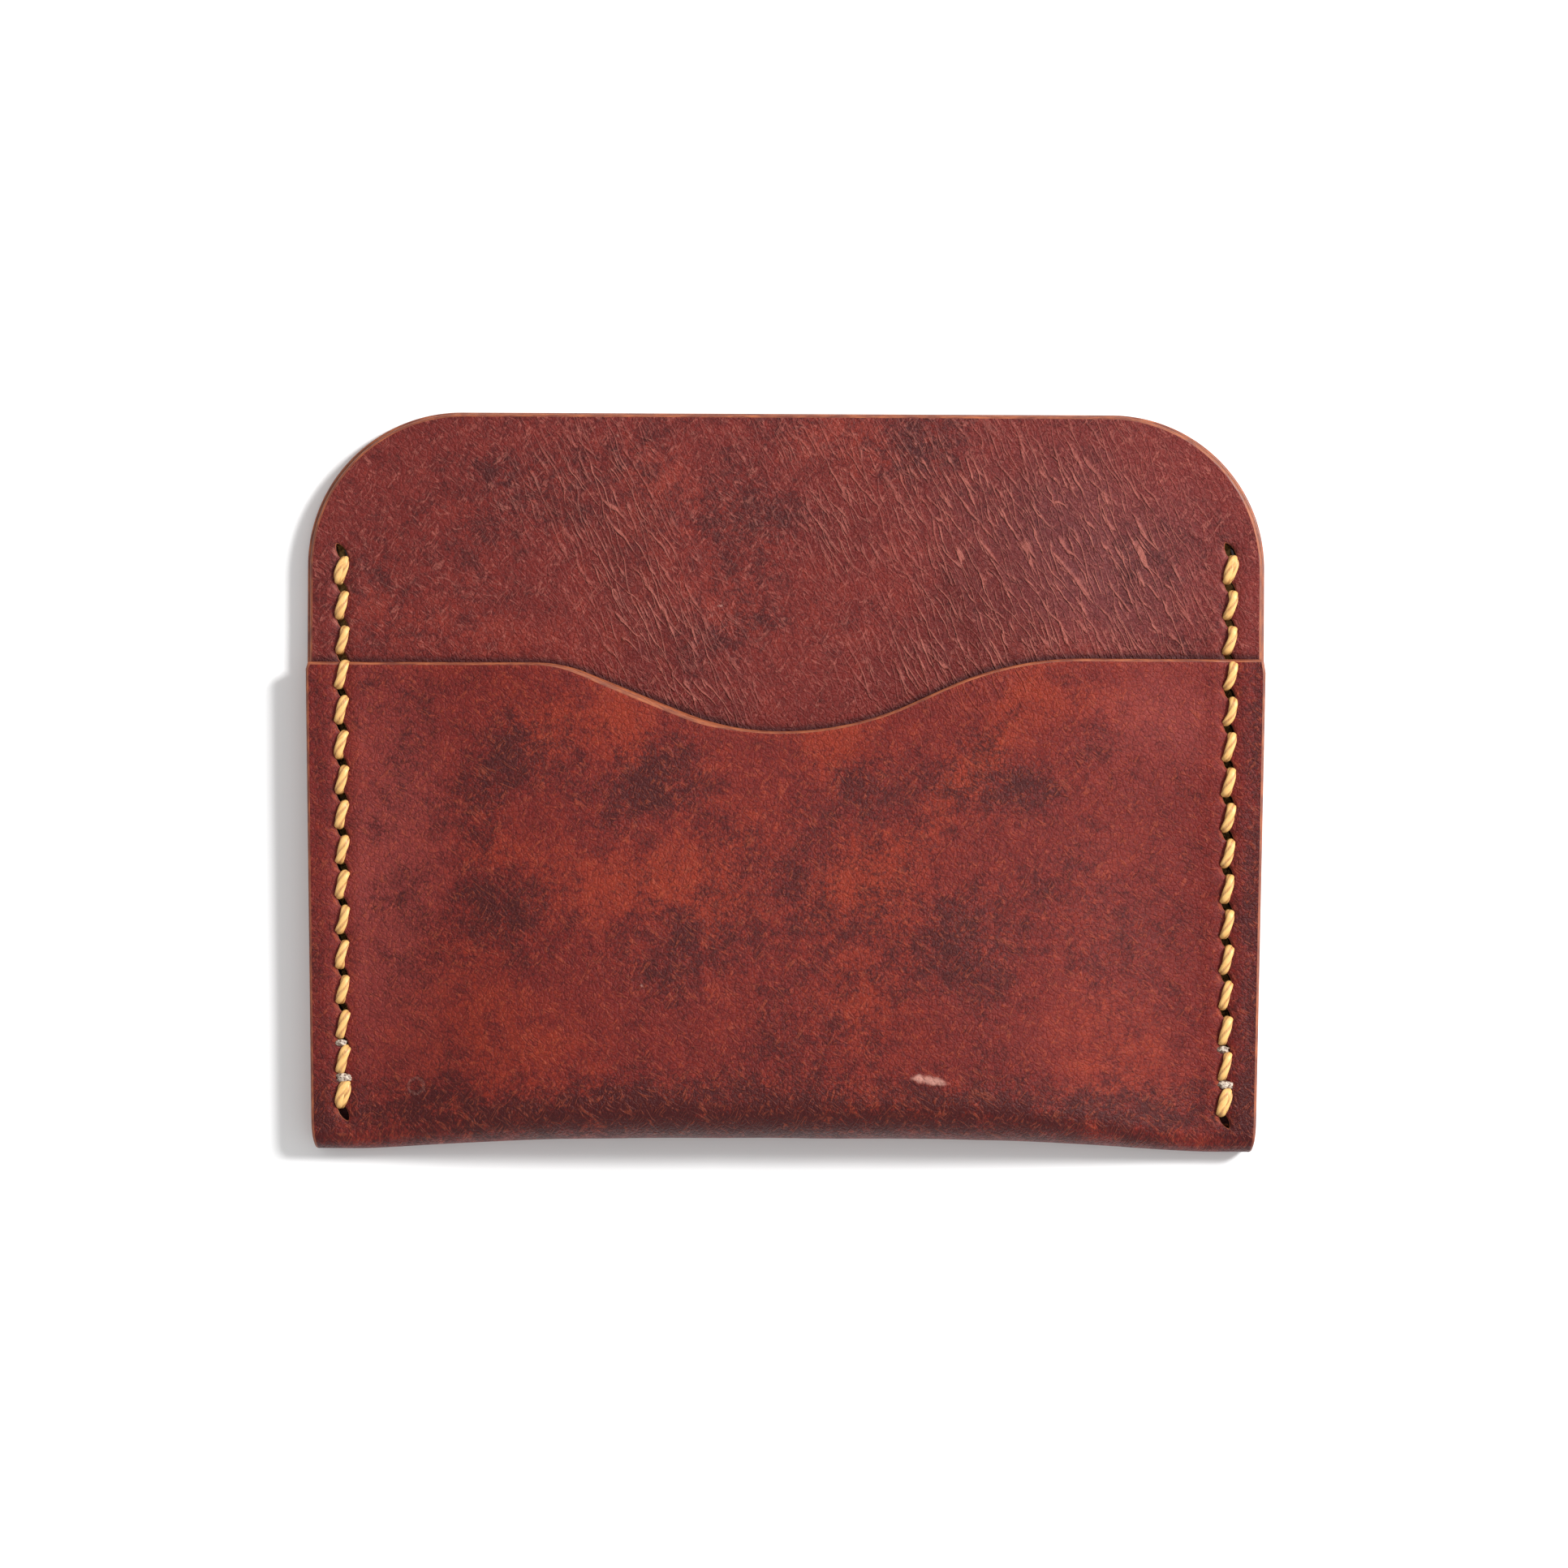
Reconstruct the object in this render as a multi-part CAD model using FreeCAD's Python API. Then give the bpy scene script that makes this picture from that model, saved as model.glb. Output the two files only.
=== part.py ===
"""A leather card holder: a folded shell, a tall divider and two saddle-stitched side seams.

All sizes are in millimetres. The holder lies on its back: +X is to its right, +Y points to the
open top, +Z comes up out of the front pocket. The origin is on the resting plane, under the middle
of the overall box. Two pockets open towards +Y: the front pocket, between the shell's front and the
divider, and the main pocket, between the divider and the shell's back.
"""
import FreeCAD, Part
import math
import os
from FreeCAD import Vector

# Overall size of the sewn holder
WIDTH = 106.0
HEIGHT = 81.5
TOP_CORNER_RADIUS = 17.0
BOTTOM_CORNER_RADIUS = 1.2
SIDE_TAPER = 0.9            # how far each side leans in between the pocket mouth and the fold

# Leather
SHELL_LEATHER = 1.4
DIVIDER_LEATHER = 1.2
LAYER_GAP = 0.03            # between layers that are cemented and sewn down
DIVIDER_SIDE_INSET = 0.35   # how much narrower than the shell the divider is, on each side
DIVIDER_TOP_INSET = 0.25
DIVIDER_ARCH = 0.8          # how far the divider stands off the back in the middle
DIVIDER_FOOT = 36.4         # distance below the origin of its bottom edge, in the middle
DIVIDER_FOOT_DROP = 1.8     # how much lower that edge is at the sides

# The fold at the bottom is pinched flat in the seams and springs open between them
PINCH_X = 47.5              # outside this the layers lie flat on one another
FOLD_SPRING = 2.5           # growth of the fold's radius from the seams to the middle
MOUTH_SHARE = 0.25          # share of the fold's rise that is left at the pocket mouth
RISE_LENGTH = 50.0          # distance from the fold over which the rise dies away

# Mouth of the front pocket: straight on both sides of a dip for the thumb
MOUTH_LEFT_Y = 13.0
MOUTH_RIGHT_Y = 13.7
DIP_X = -0.6
DIP_Y = 5.5
LEFT_DIP = {"slope": 22.0, "dip_radius": 28.0, "shoulder_radius": 16.0}
RIGHT_DIP = {"slope": 25.0, "dip_radius": 35.0, "shoulder_radius": 36.0}

# Seams
STITCHES = 16
SEAM_TOP_X = 49.15
SEAM_FOOT_X = 48.6
LEFT_SEAM = {"side": -1, "first_hole_y": 25.1, "pitch": 3.86}
RIGHT_SEAM = {"side": 1, "first_hole_y": 25.6, "pitch": 3.92}
STITCHES_ABOVE_MOUTH = 3
THREAD_WIDTH = 1.0
THREAD_HEIGHT = 0.56
THREAD_BEND = 0.35          # radius of the thread's centre line where it enters the leather
THREAD_CLEARANCE = 0.02
SLIT_SLANT = 30.0           # degrees from the seam's line, top leaning to the left
SLIT_LENGTH = 1.7
SLIT_WIDTH = 1.0
STRAND_OFFSET = 0.42        # each strand's place in a slit, along the slit from its middle
GROOVE_WIDTH = 1.6          # channel in the back that lets the stitches lie flush
GROOVE_DEPTH = 0.62

# Derived places
TOP_Y = HEIGHT / 2
BACK_TOP_Z = SHELL_LEATHER
DIVIDER_UNDER_Z = BACK_TOP_Z + LAYER_GAP
DIVIDER_TOP_Z = DIVIDER_UNDER_Z + DIVIDER_LEATHER
FRONT_UNDER_Z = DIVIDER_TOP_Z + LAYER_GAP
FRONT_TOP_Z = FRONT_UNDER_Z + SHELL_LEATHER
PINCHED_RADIUS = (FRONT_TOP_Z - SHELL_LEATHER) / 2     # of the fold's middle layer, in the seams
FOLD_BOW = math.pi / 2 - 1                             # climb of the fold's edge per unit of radius
FOLD_LINE_Y = -HEIGHT / 2 + SHELL_LEATHER / 2 - FOLD_BOW * PINCHED_RADIUS
PANEL_JOINT_Y = -32.0       # below this the shell is modelled as one bent sheet
SHEET_TOP_Y = 16.0          # the bent sheet's far edge, before the mouth is cut
TALL = 20.0                 # height of the prisms that cut the outlines


def rise_share(x):
    """How far the layers have sprung apart at x: 0 in the seams, 1 in the middle."""
    return max(0.0, 1 - (x / PINCH_X) ** 4) ** 2


def half_width(y):
    """Distance from the middle to the shell's side at height y."""
    below_mouth = max(0.0, MOUTH_LEFT_Y - y)
    return WIDTH / 2 - SIDE_TAPER * below_mouth / (MOUTH_LEFT_Y + HEIGHT / 2)


def line(start, end):
    return Part.LineSegment(start, end).toShape()


def prism(edges, bottom_z=-TALL / 2):
    """Solid with the closed outline of the given edges, TALL high."""
    outline = Part.Wire(Part.__sortEdges__(edges))
    return Part.Face(outline).extrude(Vector(0, 0, TALL)).translated(Vector(0, 0, bottom_z))


def rounded_outline(corners, radii):
    """Closed outline of straight edges with each corner rounded by its own radius."""
    count = len(corners)
    edges = []
    ends = []
    for index, corner in enumerate(corners):
        before = (corners[index - 1] - corner).normalize()
        after = (corners[(index + 1) % count] - corner).normalize()
        half_turn = before.getAngle(after) / 2
        reach = radii[index] / math.tan(half_turn)
        start = corner + before * reach
        end = corner + after * reach
        if radii[index] > 0:
            inward = (before + after).normalize()
            to_arc = radii[index] / math.sin(half_turn) - radii[index]
            edges.append(Part.Arc(start, corner + inward * to_arc, end).toShape())
        ends.append((start, end))
    for index in range(count):
        edges.append(line(ends[index - 1][1], ends[index][0]))
    return edges


def panel_edges(foot_y, top_y, inset):
    """Outline of a tall panel: tapered sides and two large round top corners."""
    foot = half_width(foot_y) - inset
    top = WIDTH / 2 - inset
    shoulder_y = MOUTH_LEFT_Y
    corners = [
        Vector(-foot, foot_y, 0),
        Vector(foot, foot_y, 0),
        Vector(top, shoulder_y, 0),
        Vector(top, top_y, 0),
        Vector(-top, top_y, 0),
        Vector(-top, shoulder_y, 0),
    ]
    radii = [0, 0, 0, TOP_CORNER_RADIUS, TOP_CORNER_RADIUS, 0]
    return rounded_outline(corners, radii)


def dip_edges(side, mouth_y, slope, dip_radius, shoulder_radius):
    """One half of the thumb dip, from its lowest point out to the straight mouth."""
    turn = math.radians(slope)
    drop = mouth_y - DIP_Y
    curved_drop = (dip_radius + shoulder_radius) * (1 - math.cos(turn))
    straight = (drop - curved_drop) / math.sin(turn)
    centre = Vector(DIP_X, DIP_Y + dip_radius, 0)

    def on_dip(angle):
        return centre + Vector(side * math.sin(angle), -math.cos(angle), 0) * dip_radius

    ramp_end = on_dip(turn) + Vector(side * math.cos(turn), math.sin(turn), 0) * straight
    shoulder_x = ramp_end.x + side * shoulder_radius * math.sin(turn)
    shoulder_centre = Vector(shoulder_x, mouth_y - shoulder_radius, 0)

    def on_shoulder(angle):
        across = Vector(-side * math.sin(angle), math.cos(angle), 0)
        return shoulder_centre + across * shoulder_radius

    edges = [
        Part.Arc(on_dip(0), on_dip(turn / 2), on_dip(turn)).toShape(),
        line(on_dip(turn), ramp_end),
        Part.Arc(ramp_end, on_shoulder(turn / 2), on_shoulder(0)).toShape(),
    ]
    return edges, on_shoulder(0)


def pocket_edges():
    """Outline of everything below the mouth: the dip, the tapered sides and the fold's ends."""
    left_dip, left_shoulder = dip_edges(-1, MOUTH_LEFT_Y, **LEFT_DIP)
    right_dip, right_shoulder = dip_edges(1, MOUTH_RIGHT_Y, **RIGHT_DIP)
    foot_y = -HEIGHT / 2
    foot = half_width(foot_y)
    radius = BOTTOM_CORNER_RADIUS
    reach = radius * (1 - math.sqrt(0.5))
    left_mouth = Vector(-half_width(MOUTH_LEFT_Y), MOUTH_LEFT_Y, 0)
    right_mouth = Vector(half_width(MOUTH_RIGHT_Y), MOUTH_RIGHT_Y, 0)
    edges = left_dip + right_dip
    edges += [line(left_shoulder, left_mouth), line(right_shoulder, right_mouth)]
    feet = []
    for side, mouth in ((-1, left_mouth), (1, right_mouth)):
        above = Vector(side * foot, foot_y + radius, 0)
        middle = Vector(side * (foot - reach), foot_y + reach, 0)
        foot_end = Vector(side * (foot - radius), foot_y, 0)
        edges += [line(mouth, above), Part.Arc(above, middle, foot_end).toShape()]
        feet.append(foot_end)
    edges.append(line(*feet))
    return edges


def sheet_stations(x):
    """Middle line of the bent sheet at x, as (y, z, normal y, normal z) from the back to the mouth."""
    share = rise_share(x)
    radius = PINCHED_RADIUS + FOLD_SPRING * share
    rise = 2 * FOLD_SPRING * share
    bend_y = FOLD_LINE_Y + radius * math.pi / 2
    back_z = SHELL_LEATHER / 2
    stations = []
    back_steps = 6
    for step in range(back_steps):
        y = PANEL_JOINT_Y + (bend_y - PANEL_JOINT_Y) * step / back_steps
        stations.append((y, back_z, 0.0, -1.0))
    fold_steps = 16
    for step in range(fold_steps + 1):
        angle = math.pi * step / fold_steps
        ny = -math.sin(angle)
        nz = -math.cos(angle)
        stations.append((bend_y + radius * ny, back_z + radius + radius * nz, ny, nz))
    front_steps = 22
    for step in range(1, front_steps + 1):
        along = (SHEET_TOP_Y - bend_y) * step / front_steps
        phase = math.pi * min(along / RISE_LENGTH, 1.0)
        kept = MOUTH_SHARE + (1 - MOUTH_SHARE) * (1 + math.cos(phase)) / 2
        slope = -(1 - MOUTH_SHARE) * math.sin(phase) * math.pi / RISE_LENGTH / 2 * rise
        z = back_z + 2 * PINCHED_RADIUS + rise * kept
        length = math.hypot(1, slope)
        stations.append((bend_y + along, z, -slope / length, 1 / length))
    return stations


def spline_through(points, parameters):
    curve = Part.BSplineCurve()
    curve.interpolate(Points=points, Parameters=parameters)
    return curve


def surface_through(columns, across, along):
    """Smooth surface through a grid of points, given one list of parameters for each direction."""
    curves = [spline_through(column, along) for column in columns]
    pole_rows = list(zip(*[curve.getPoles() for curve in curves]))
    cross_curves = [spline_through(list(row), across) for row in pole_rows]
    poles = [list(column) for column in zip(*[curve.getPoles() for curve in cross_curves])]
    surface = Part.BSplineSurface()
    surface.buildFromPolesMultsKnots(
        poles,
        cross_curves[0].getMultiplicities(),
        curves[0].getMultiplicities(),
        cross_curves[0].getKnots(),
        curves[0].getKnots(),
        False,
        False,
        cross_curves[0].Degree,
        curves[0].Degree,
    )
    return surface


def flat_rim(outer_curve, inner_curve):
    """Flat strip between two curves in one plane: the cut edge of a sheet."""
    edges = [outer_curve.toShape(), inner_curve.toShape()]
    for parameter in (outer_curve.FirstParameter, outer_curve.LastParameter):
        edges.append(line(outer_curve.value(parameter), inner_curve.value(parameter)))
    return Part.Face(Part.Wire(Part.__sortEdges__(edges)))


def sheet_skins():
    """Outer and inner face of the sheet between the seams: round the fold and up the front wall."""
    steps = 12
    across = [PINCH_X * step / steps for step in range(-steps, steps + 1)]
    middle = [Vector(0, y, z) for y, z, ny, nz in sheet_stations(0)]
    along = [0.0]
    for before, after in zip(middle, middle[1:]):
        along.append(along[-1] + before.distanceToPoint(after))
    skins = []
    for offset in (SHELL_LEATHER / 2, -SHELL_LEATHER / 2):
        columns = []
        for x in across:
            stations = sheet_stations(x)
            columns.append([Vector(x, y + ny * offset, z + nz * offset) for y, z, ny, nz in stations])
        skins.append(surface_through(columns, across, along))
    return skins


def sprung_sheet(skins):
    """The fold and the front wall between the seams, one sheet of even thickness, before trimming."""
    first_x, last_x, start, end = skins[0].bounds()
    faces = [skin.toShape() for skin in skins]
    for x in (first_x, last_x):
        faces.append(flat_rim(*[skin.uIso(x) for skin in skins]))
    for place in (start, end):
        faces.append(flat_rim(*[skin.vIso(place) for skin in skins]))
    sewn = Part.Shell(faces)
    sewn.sewShape()
    solid = Part.Solid(Part.Shell(sewn.Faces))
    if solid.Volume < 0:
        solid.reverse()
    return solid


def pinched_margin(skins, side):
    """The sewn margin on one side: the sheet's rim carried straight on, folded flat."""
    rim = flat_rim(*[skin.uIso(side * PINCH_X) for skin in skins])
    return rim.extrude(Vector(side * (WIDTH / 2 + 1 - PINCH_X), 0, 0))


def seam_point(seam, hole):
    """Place of a hole's middle on the seam's line; holes are counted from 0 at the top."""
    share = hole / STITCHES
    x = seam["side"] * (SEAM_TOP_X + (SEAM_FOOT_X - SEAM_TOP_X) * share)
    return Vector(x, seam["first_hole_y"] - hole * seam["pitch"], 0)


def slit_direction():
    slant = math.radians(SLIT_SLANT)
    return Vector(-math.sin(slant), math.cos(slant), 0)


def slits(seam):
    """The slanted slits of one seam, as tall prisms."""
    along = slit_direction() * (SLIT_LENGTH / 2)
    across = Vector(-along.y, along.x, 0).normalize() * (SLIT_WIDTH / 2)
    cutters = []
    for hole in range(STITCHES + 1):
        middle = seam_point(seam, hole)
        corners = [
            middle + along + across,
            middle + along - across,
            middle - along - across,
            middle - along + across,
        ]
        outline = [line(corners[index - 1], corners[index]) for index in range(4)]
        cutters.append(prism(outline))
    return cutters


def stitch_groove(seam):
    """The channel that lets one seam's stitches lie flush with the back."""
    overrun = Vector(0, 1.2, 0)
    half = Vector(GROOVE_WIDTH / 2, 0, 0)
    top = seam_point(seam, 0) + overrun
    foot = seam_point(seam, STITCHES) - overrun
    corners = [top - half, top + half, foot + half, foot - half]
    outline = [line(corners[index - 1], corners[index]) for index in range(4)]
    return prism(outline, bottom_z=GROOVE_DEPTH - TALL)


def shell_shape():
    """One piece of leather: the tall back, the fold and the front wall with its wavy mouth."""
    pocket = prism(pocket_edges())
    slab = Part.makeBox(2 * WIDTH, 2 * HEIGHT, BACK_TOP_Z, Vector(-WIDTH, -HEIGHT, 0))
    back = prism(panel_edges(PANEL_JOINT_Y, TOP_Y, 0)).common(slab)
    skins = sheet_skins()
    front = sprung_sheet(skins).common(pocket)
    for seam in (LEFT_SEAM, RIGHT_SEAM):
        cutters = slits(seam) + [stitch_groove(seam)]
        back = back.cut(cutters)
        front = front.fuse(pinched_margin(skins, seam["side"]).common(pocket).cut(cutters))
    return back.fuse(front)


def divider_shape():
    """The middle panel: a gentle arch across its width, straight along its height."""
    half = WIDTH / 2
    steps = 24
    columns = [-half + WIDTH * step / steps for step in range(steps + 1)]
    levels = []
    for height in (DIVIDER_UNDER_Z, DIVIDER_TOP_Z):
        points = [Vector(x, -HEIGHT / 2, height + DIVIDER_ARCH * rise_share(x)) for x in columns]
        curve = Part.BSplineCurve()
        curve.interpolate(points)
        levels.append(curve.toShape())
    ends = []
    for x in (-half, half):
        ends.append(line(Vector(x, -HEIGHT / 2, DIVIDER_UNDER_Z), Vector(x, -HEIGHT / 2, DIVIDER_TOP_Z)))
    section = Part.Face(Part.Wire(Part.__sortEdges__(levels + ends)))
    arch = section.extrude(Vector(0, HEIGHT, 0))
    outline = panel_edges(-HEIGHT / 2, TOP_Y - DIVIDER_TOP_INSET, DIVIDER_SIDE_INSET)
    divider = arch.common(prism(outline))
    corner_y = -DIVIDER_FOOT - DIVIDER_FOOT_DROP
    left = Vector(-half, corner_y, 0)
    right = Vector(half, corner_y, 0)
    low_left = Vector(-half, -HEIGHT, 0)
    low_right = Vector(half, -HEIGHT, 0)
    foot_arc = Part.Arc(left, Vector(0, -DIVIDER_FOOT, 0), right).toShape()
    below = [foot_arc, line(right, low_right), line(low_right, low_left), line(low_left, left)]
    divider = divider.cut(prism(below))
    for seam in (LEFT_SEAM, RIGHT_SEAM):
        divider = divider.cut(slits(seam))
    return divider


def strand_points(seam, front_parity):
    """One needle's way down the seam; its stitches of the given parity lie on the front."""
    step = slit_direction() * STRAND_OFFSET
    back_z = THREAD_CLEARANCE + THREAD_HEIGHT / 2
    first = seam_point(seam, 0) - step
    points = [Vector(first.x, first.y, SHELL_LEATHER)]
    for stitch in range(STITCHES):
        start = seam_point(seam, stitch)
        end = seam_point(seam, stitch + 1)
        if stitch % 2 == front_parity:
            surface_z = DIVIDER_TOP_Z if stitch < STITCHES_ABOVE_MOUTH else FRONT_TOP_Z
            level = Vector(0, 0, surface_z + THREAD_CLEARANCE + THREAD_HEIGHT / 2)
            points += [start - step + level, end + step + level]
        else:
            level = Vector(0, 0, back_z)
            start_step = -step if stitch == 0 else step
            points += [start + start_step + level, end - step + level]
    tail_end = Vector(points[-1])
    tail_end.z = FRONT_TOP_Z / 2
    return points + [tail_end]


def rounded_path(points, radius):
    """Straight runs through the points, joined by tangent arcs."""
    edges = []
    last = points[0]
    for before, corner, after in zip(points, points[1:], points[2:]):
        into = (before - corner).normalize()
        out = (after - corner).normalize()
        half_turn = into.getAngle(out) / 2
        reach = radius / math.tan(half_turn)
        start = corner + into * reach
        end = corner + out * reach
        inward = (into + out).normalize()
        middle = corner + inward * (radius / math.sin(half_turn) - radius)
        edges += [line(last, start), Part.Arc(start, middle, end).toShape()]
        last = end
    edges.append(line(last, points[-1]))
    return Part.Wire(edges)


def strand_shape(points):
    """Flattened thread swept along one needle's way."""
    section = Part.Ellipse(Vector(0, 0, 0), THREAD_WIDTH / 2, THREAD_HEIGHT / 2).toShape()
    section.translate(points[0])
    sweep = Part.BRepOffsetAPI.MakePipeShell(rounded_path(points, THREAD_BEND))
    sweep.setBiNormalMode(Vector(1, 0, 0))
    sweep.add(Part.Wire([section]))
    sweep.build()
    sweep.makeSolid()
    return sweep.shape()


def thread_shape(seam):
    """One waxed thread with a needle at each end; its two strands press together in every slit."""
    one_needle = strand_shape(strand_points(seam, front_parity=0))
    other_needle = strand_shape(strand_points(seam, front_parity=1))
    return one_needle.fuse(other_needle).Solids[0]


def main():
    os.makedirs("parts", exist_ok=True)
    nodes = {
        "shell": shell_shape(),
        "divider": divider_shape(),
        "left_seam_thread": thread_shape(LEFT_SEAM),
        "right_seam_thread": thread_shape(RIGHT_SEAM),
    }
    for name, shape in nodes.items():
        shape.exportStep(f"parts/{name}.step")
        box = shape.BoundBox
        print(name, "solids", len(shape.Solids), "valid", shape.isValid(), "volume", round(shape.Volume, 1))
        print("   box", [round(v, 3) for v in (box.XMin, box.XMax, box.YMin, box.YMax, box.ZMin, box.ZMax)])
    return nodes


if __name__ == "__main__":
    main()
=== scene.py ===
"""Leather card holder: detailed leather, stitches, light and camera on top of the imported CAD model.

Lengths in the settings below are millimetres; they become metres when a mesh is made. Each leather
piece is described on its flat pattern, x across and s along, and then bent into place.
"""
import math

import bpy
import numpy as np
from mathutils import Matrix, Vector
from mathutils.geometry import delaunay_2d_cdt


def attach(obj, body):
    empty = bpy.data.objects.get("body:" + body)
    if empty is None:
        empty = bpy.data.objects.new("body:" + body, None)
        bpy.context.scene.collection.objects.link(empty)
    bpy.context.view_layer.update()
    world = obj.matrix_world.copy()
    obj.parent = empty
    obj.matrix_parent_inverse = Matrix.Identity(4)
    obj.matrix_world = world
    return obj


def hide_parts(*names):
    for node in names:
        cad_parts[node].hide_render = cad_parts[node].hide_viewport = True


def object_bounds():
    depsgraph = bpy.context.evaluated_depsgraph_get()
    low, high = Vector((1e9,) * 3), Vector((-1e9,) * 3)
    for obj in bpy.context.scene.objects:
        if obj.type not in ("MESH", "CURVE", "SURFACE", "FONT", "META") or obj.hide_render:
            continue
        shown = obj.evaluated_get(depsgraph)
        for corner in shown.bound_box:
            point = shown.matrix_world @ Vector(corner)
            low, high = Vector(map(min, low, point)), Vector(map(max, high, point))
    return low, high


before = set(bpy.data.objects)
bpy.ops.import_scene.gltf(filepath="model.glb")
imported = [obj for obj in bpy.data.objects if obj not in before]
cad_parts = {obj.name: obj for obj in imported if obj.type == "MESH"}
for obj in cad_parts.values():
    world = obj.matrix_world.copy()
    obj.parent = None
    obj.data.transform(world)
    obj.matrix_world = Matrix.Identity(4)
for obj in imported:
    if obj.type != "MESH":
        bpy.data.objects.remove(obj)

MM = 0.001
CAD_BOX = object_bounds()

# -------- sizes, as in the CAD model
WIDTH = (CAD_BOX[1].x - CAD_BOX[0].x) / MM
HEIGHT = 81.5
TOP_Y = HEIGHT / 2
TOP_CORNER_RADIUS = 17.0
SIDE_TAPER = 0.9
SHELL_LEATHER = 1.4
DIVIDER_LEATHER = 1.2
LAYER_GAP = 0.03
DIVIDER_SIDE_INSET = 0.35
DIVIDER_TOP_INSET = 0.25
DIVIDER_ARCH = 0.8
DIVIDER_FOOT = 36.4
DIVIDER_FOOT_DROP = 1.8
LOWEST_DIVIDER_SLIT = -35.0
PINCH_X = 47.5
FOLD_SPRING = 2.5
MOUTH_SHARE = 0.25
RISE_LENGTH = 50.0
MOUTH_LEFT_Y = 13.0
MOUTH_RIGHT_Y = 13.7
DIP_X = -0.6
DIP_Y = 5.5
LEFT_DIP = {"slope": 22.0, "dip_radius": 28.0, "shoulder_radius": 16.0}
RIGHT_DIP = {"slope": 25.0, "dip_radius": 35.0, "shoulder_radius": 36.0}
# Where the mouth stands off the divider: (x, y, reach along, reach across, turn, height).
MOUTH_LIFTS = [(-27.0, 13.0, 7.0, 4.5, 0, 0.45), (15.0, 9.0, 9.0, 4.0, 20, 0.3)]
STITCHES = 16
STITCHES_ABOVE_MOUTH = 3
SEAM_TOP_X = 49.15
SEAM_FOOT_X = 48.6
SEAMS = {
    "left_seam_thread": {"side": -1, "first_hole_y": 25.1, "pitch": 3.86, "seed": 11},
    "right_seam_thread": {"side": 1, "first_hole_y": 25.6, "pitch": 3.92, "seed": 12},
}
SLIT_SLANT = 30.0
STRAND_OFFSET = 0.70          # where a strand enters its slit, along the slit from its middle

DIVIDER_MID_Z = SHELL_LEATHER + LAYER_GAP + DIVIDER_LEATHER / 2
DIVIDER_TOP_Z = DIVIDER_MID_Z + DIVIDER_LEATHER / 2
FRONT_TOP_Z = DIVIDER_TOP_Z + LAYER_GAP + SHELL_LEATHER
PINCHED_RADIUS = (FRONT_TOP_Z - SHELL_LEATHER) / 2
FOLD_LINE_Y = -TOP_Y + SHELL_LEATHER / 2 - (math.pi / 2 - 1) * PINCHED_RADIUS

# -------- mesh fineness
FINE = 0.36                   # spacing of the mesh where leather faces the viewer
FOLD_STEP = 0.5
BACK_STEP = 0.85
HIDDEN_STEP = 1.5
OUTLINE_STEP = 0.45
EDGE_ROUND = 0.30             # rounding of the burnished edges on the grain side
THUMBED_ROUND = 0.38          # added where the mouth is worn
FLESH_ROUND = 0.25
GRAIN_EDGE_ROWS = 4
FLESH_EDGE_ROWS = 3

# -------- slits, dents and thread
SLIT_HALF_LENGTH = 1.12
SLIT_HALF_WIDTH = 0.46
SLIT_CORNERS = 12
SLIT_OPENING = 1.12           # how much wider a slit is on the grain face
SLIT_LIP_DEPTH = 0.22         # how deep that wider part goes
TROUGH_DEPTH = 0.13           # dent of the pulled thread along the seam
TROUGH_REACH = 0.85
TROUGH_END = 0.9
RIM_HEIGHT = 0.07             # leather raised beside the trough and off the ends of the slits
RIM_ASIDE = 1.7
RIM_REACH = 0.8
SLIT_RIM_OFF = 1.35
SLIT_RIM_REACH = 0.45
SLIT_RIM_LEAN = 0.2
PULL_DEPTH = 0.16             # deeper dent at each slit
PULL_ACROSS = 0.8
PULL_ALONG = 0.75
BACK_DENT_SHARE = 0.6
THREAD_WIDTH = 1.02
THREAD_HEIGHT = 0.62
THREAD_SIDES = 18
THREAD_STEP = 0.13
TWIST_LENGTH = 5.2
BACK_THREAD_Z = 0.62
# One stitch from slit to slit: share of its length, and height in half thicknesses of thread.
STITCH_PATH = (
    (0.0, -1.4), (0.01, -0.3), (0.10, 0.72), (0.30, 1.0),
    (0.70, 1.02), (0.90, 0.74), (0.99, -0.3), (1.0, -1.4),
)


# -------- noise on the flat pattern
def lattice_noise(x, y, cell, seed):
    """Smooth value noise from 0 to 1 with features about one cell across."""
    size = 128
    table = np.random.default_rng(seed).random((size, size))
    gx = x / cell + 0.37 * size
    gy = y / cell + 0.61 * size
    ix = np.floor(gx).astype(int)
    iy = np.floor(gy).astype(int)
    fx = gx - ix
    fy = gy - iy
    fx = fx * fx * (3 - 2 * fx)
    fy = fy * fy * (3 - 2 * fy)

    def blended_row(row):
        return table[ix % size, row % size] * (1 - fx) + table[(ix + 1) % size, row % size] * fx

    return blended_row(iy) * (1 - fy) + blended_row(iy + 1) * fy


def layered_noise(x, y, cell, seed, layers=4):
    """Noise from 0 to 1 with finer and fainter layers on top of the first."""
    total = np.zeros_like(x)
    weight = 0.0
    for layer in range(layers):
        share = 0.55 ** layer
        total += share * lattice_noise(x, y, cell / 2.03 ** layer, seed + layer)
        weight += share
    return total / weight


def patch(x, y, spot_x, spot_y, reach_along, reach_across, turn_deg):
    """Soft patch, 1 in its middle."""
    turn = math.radians(turn_deg)
    along = (x - spot_x) * math.cos(turn) + (y - spot_y) * math.sin(turn)
    across = (y - spot_y) * math.cos(turn) - (x - spot_x) * math.sin(turn)
    return np.exp(-((along / reach_along) ** 2) - (across / reach_across) ** 2)


def patches(x, y, spots):
    """Sum of soft patches; a spot is (x, y, reach along, reach across, turn, strength)."""
    total = np.zeros_like(x)
    for *place, strength in spots:
        total += strength * patch(x, y, *place)
    return total


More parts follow.
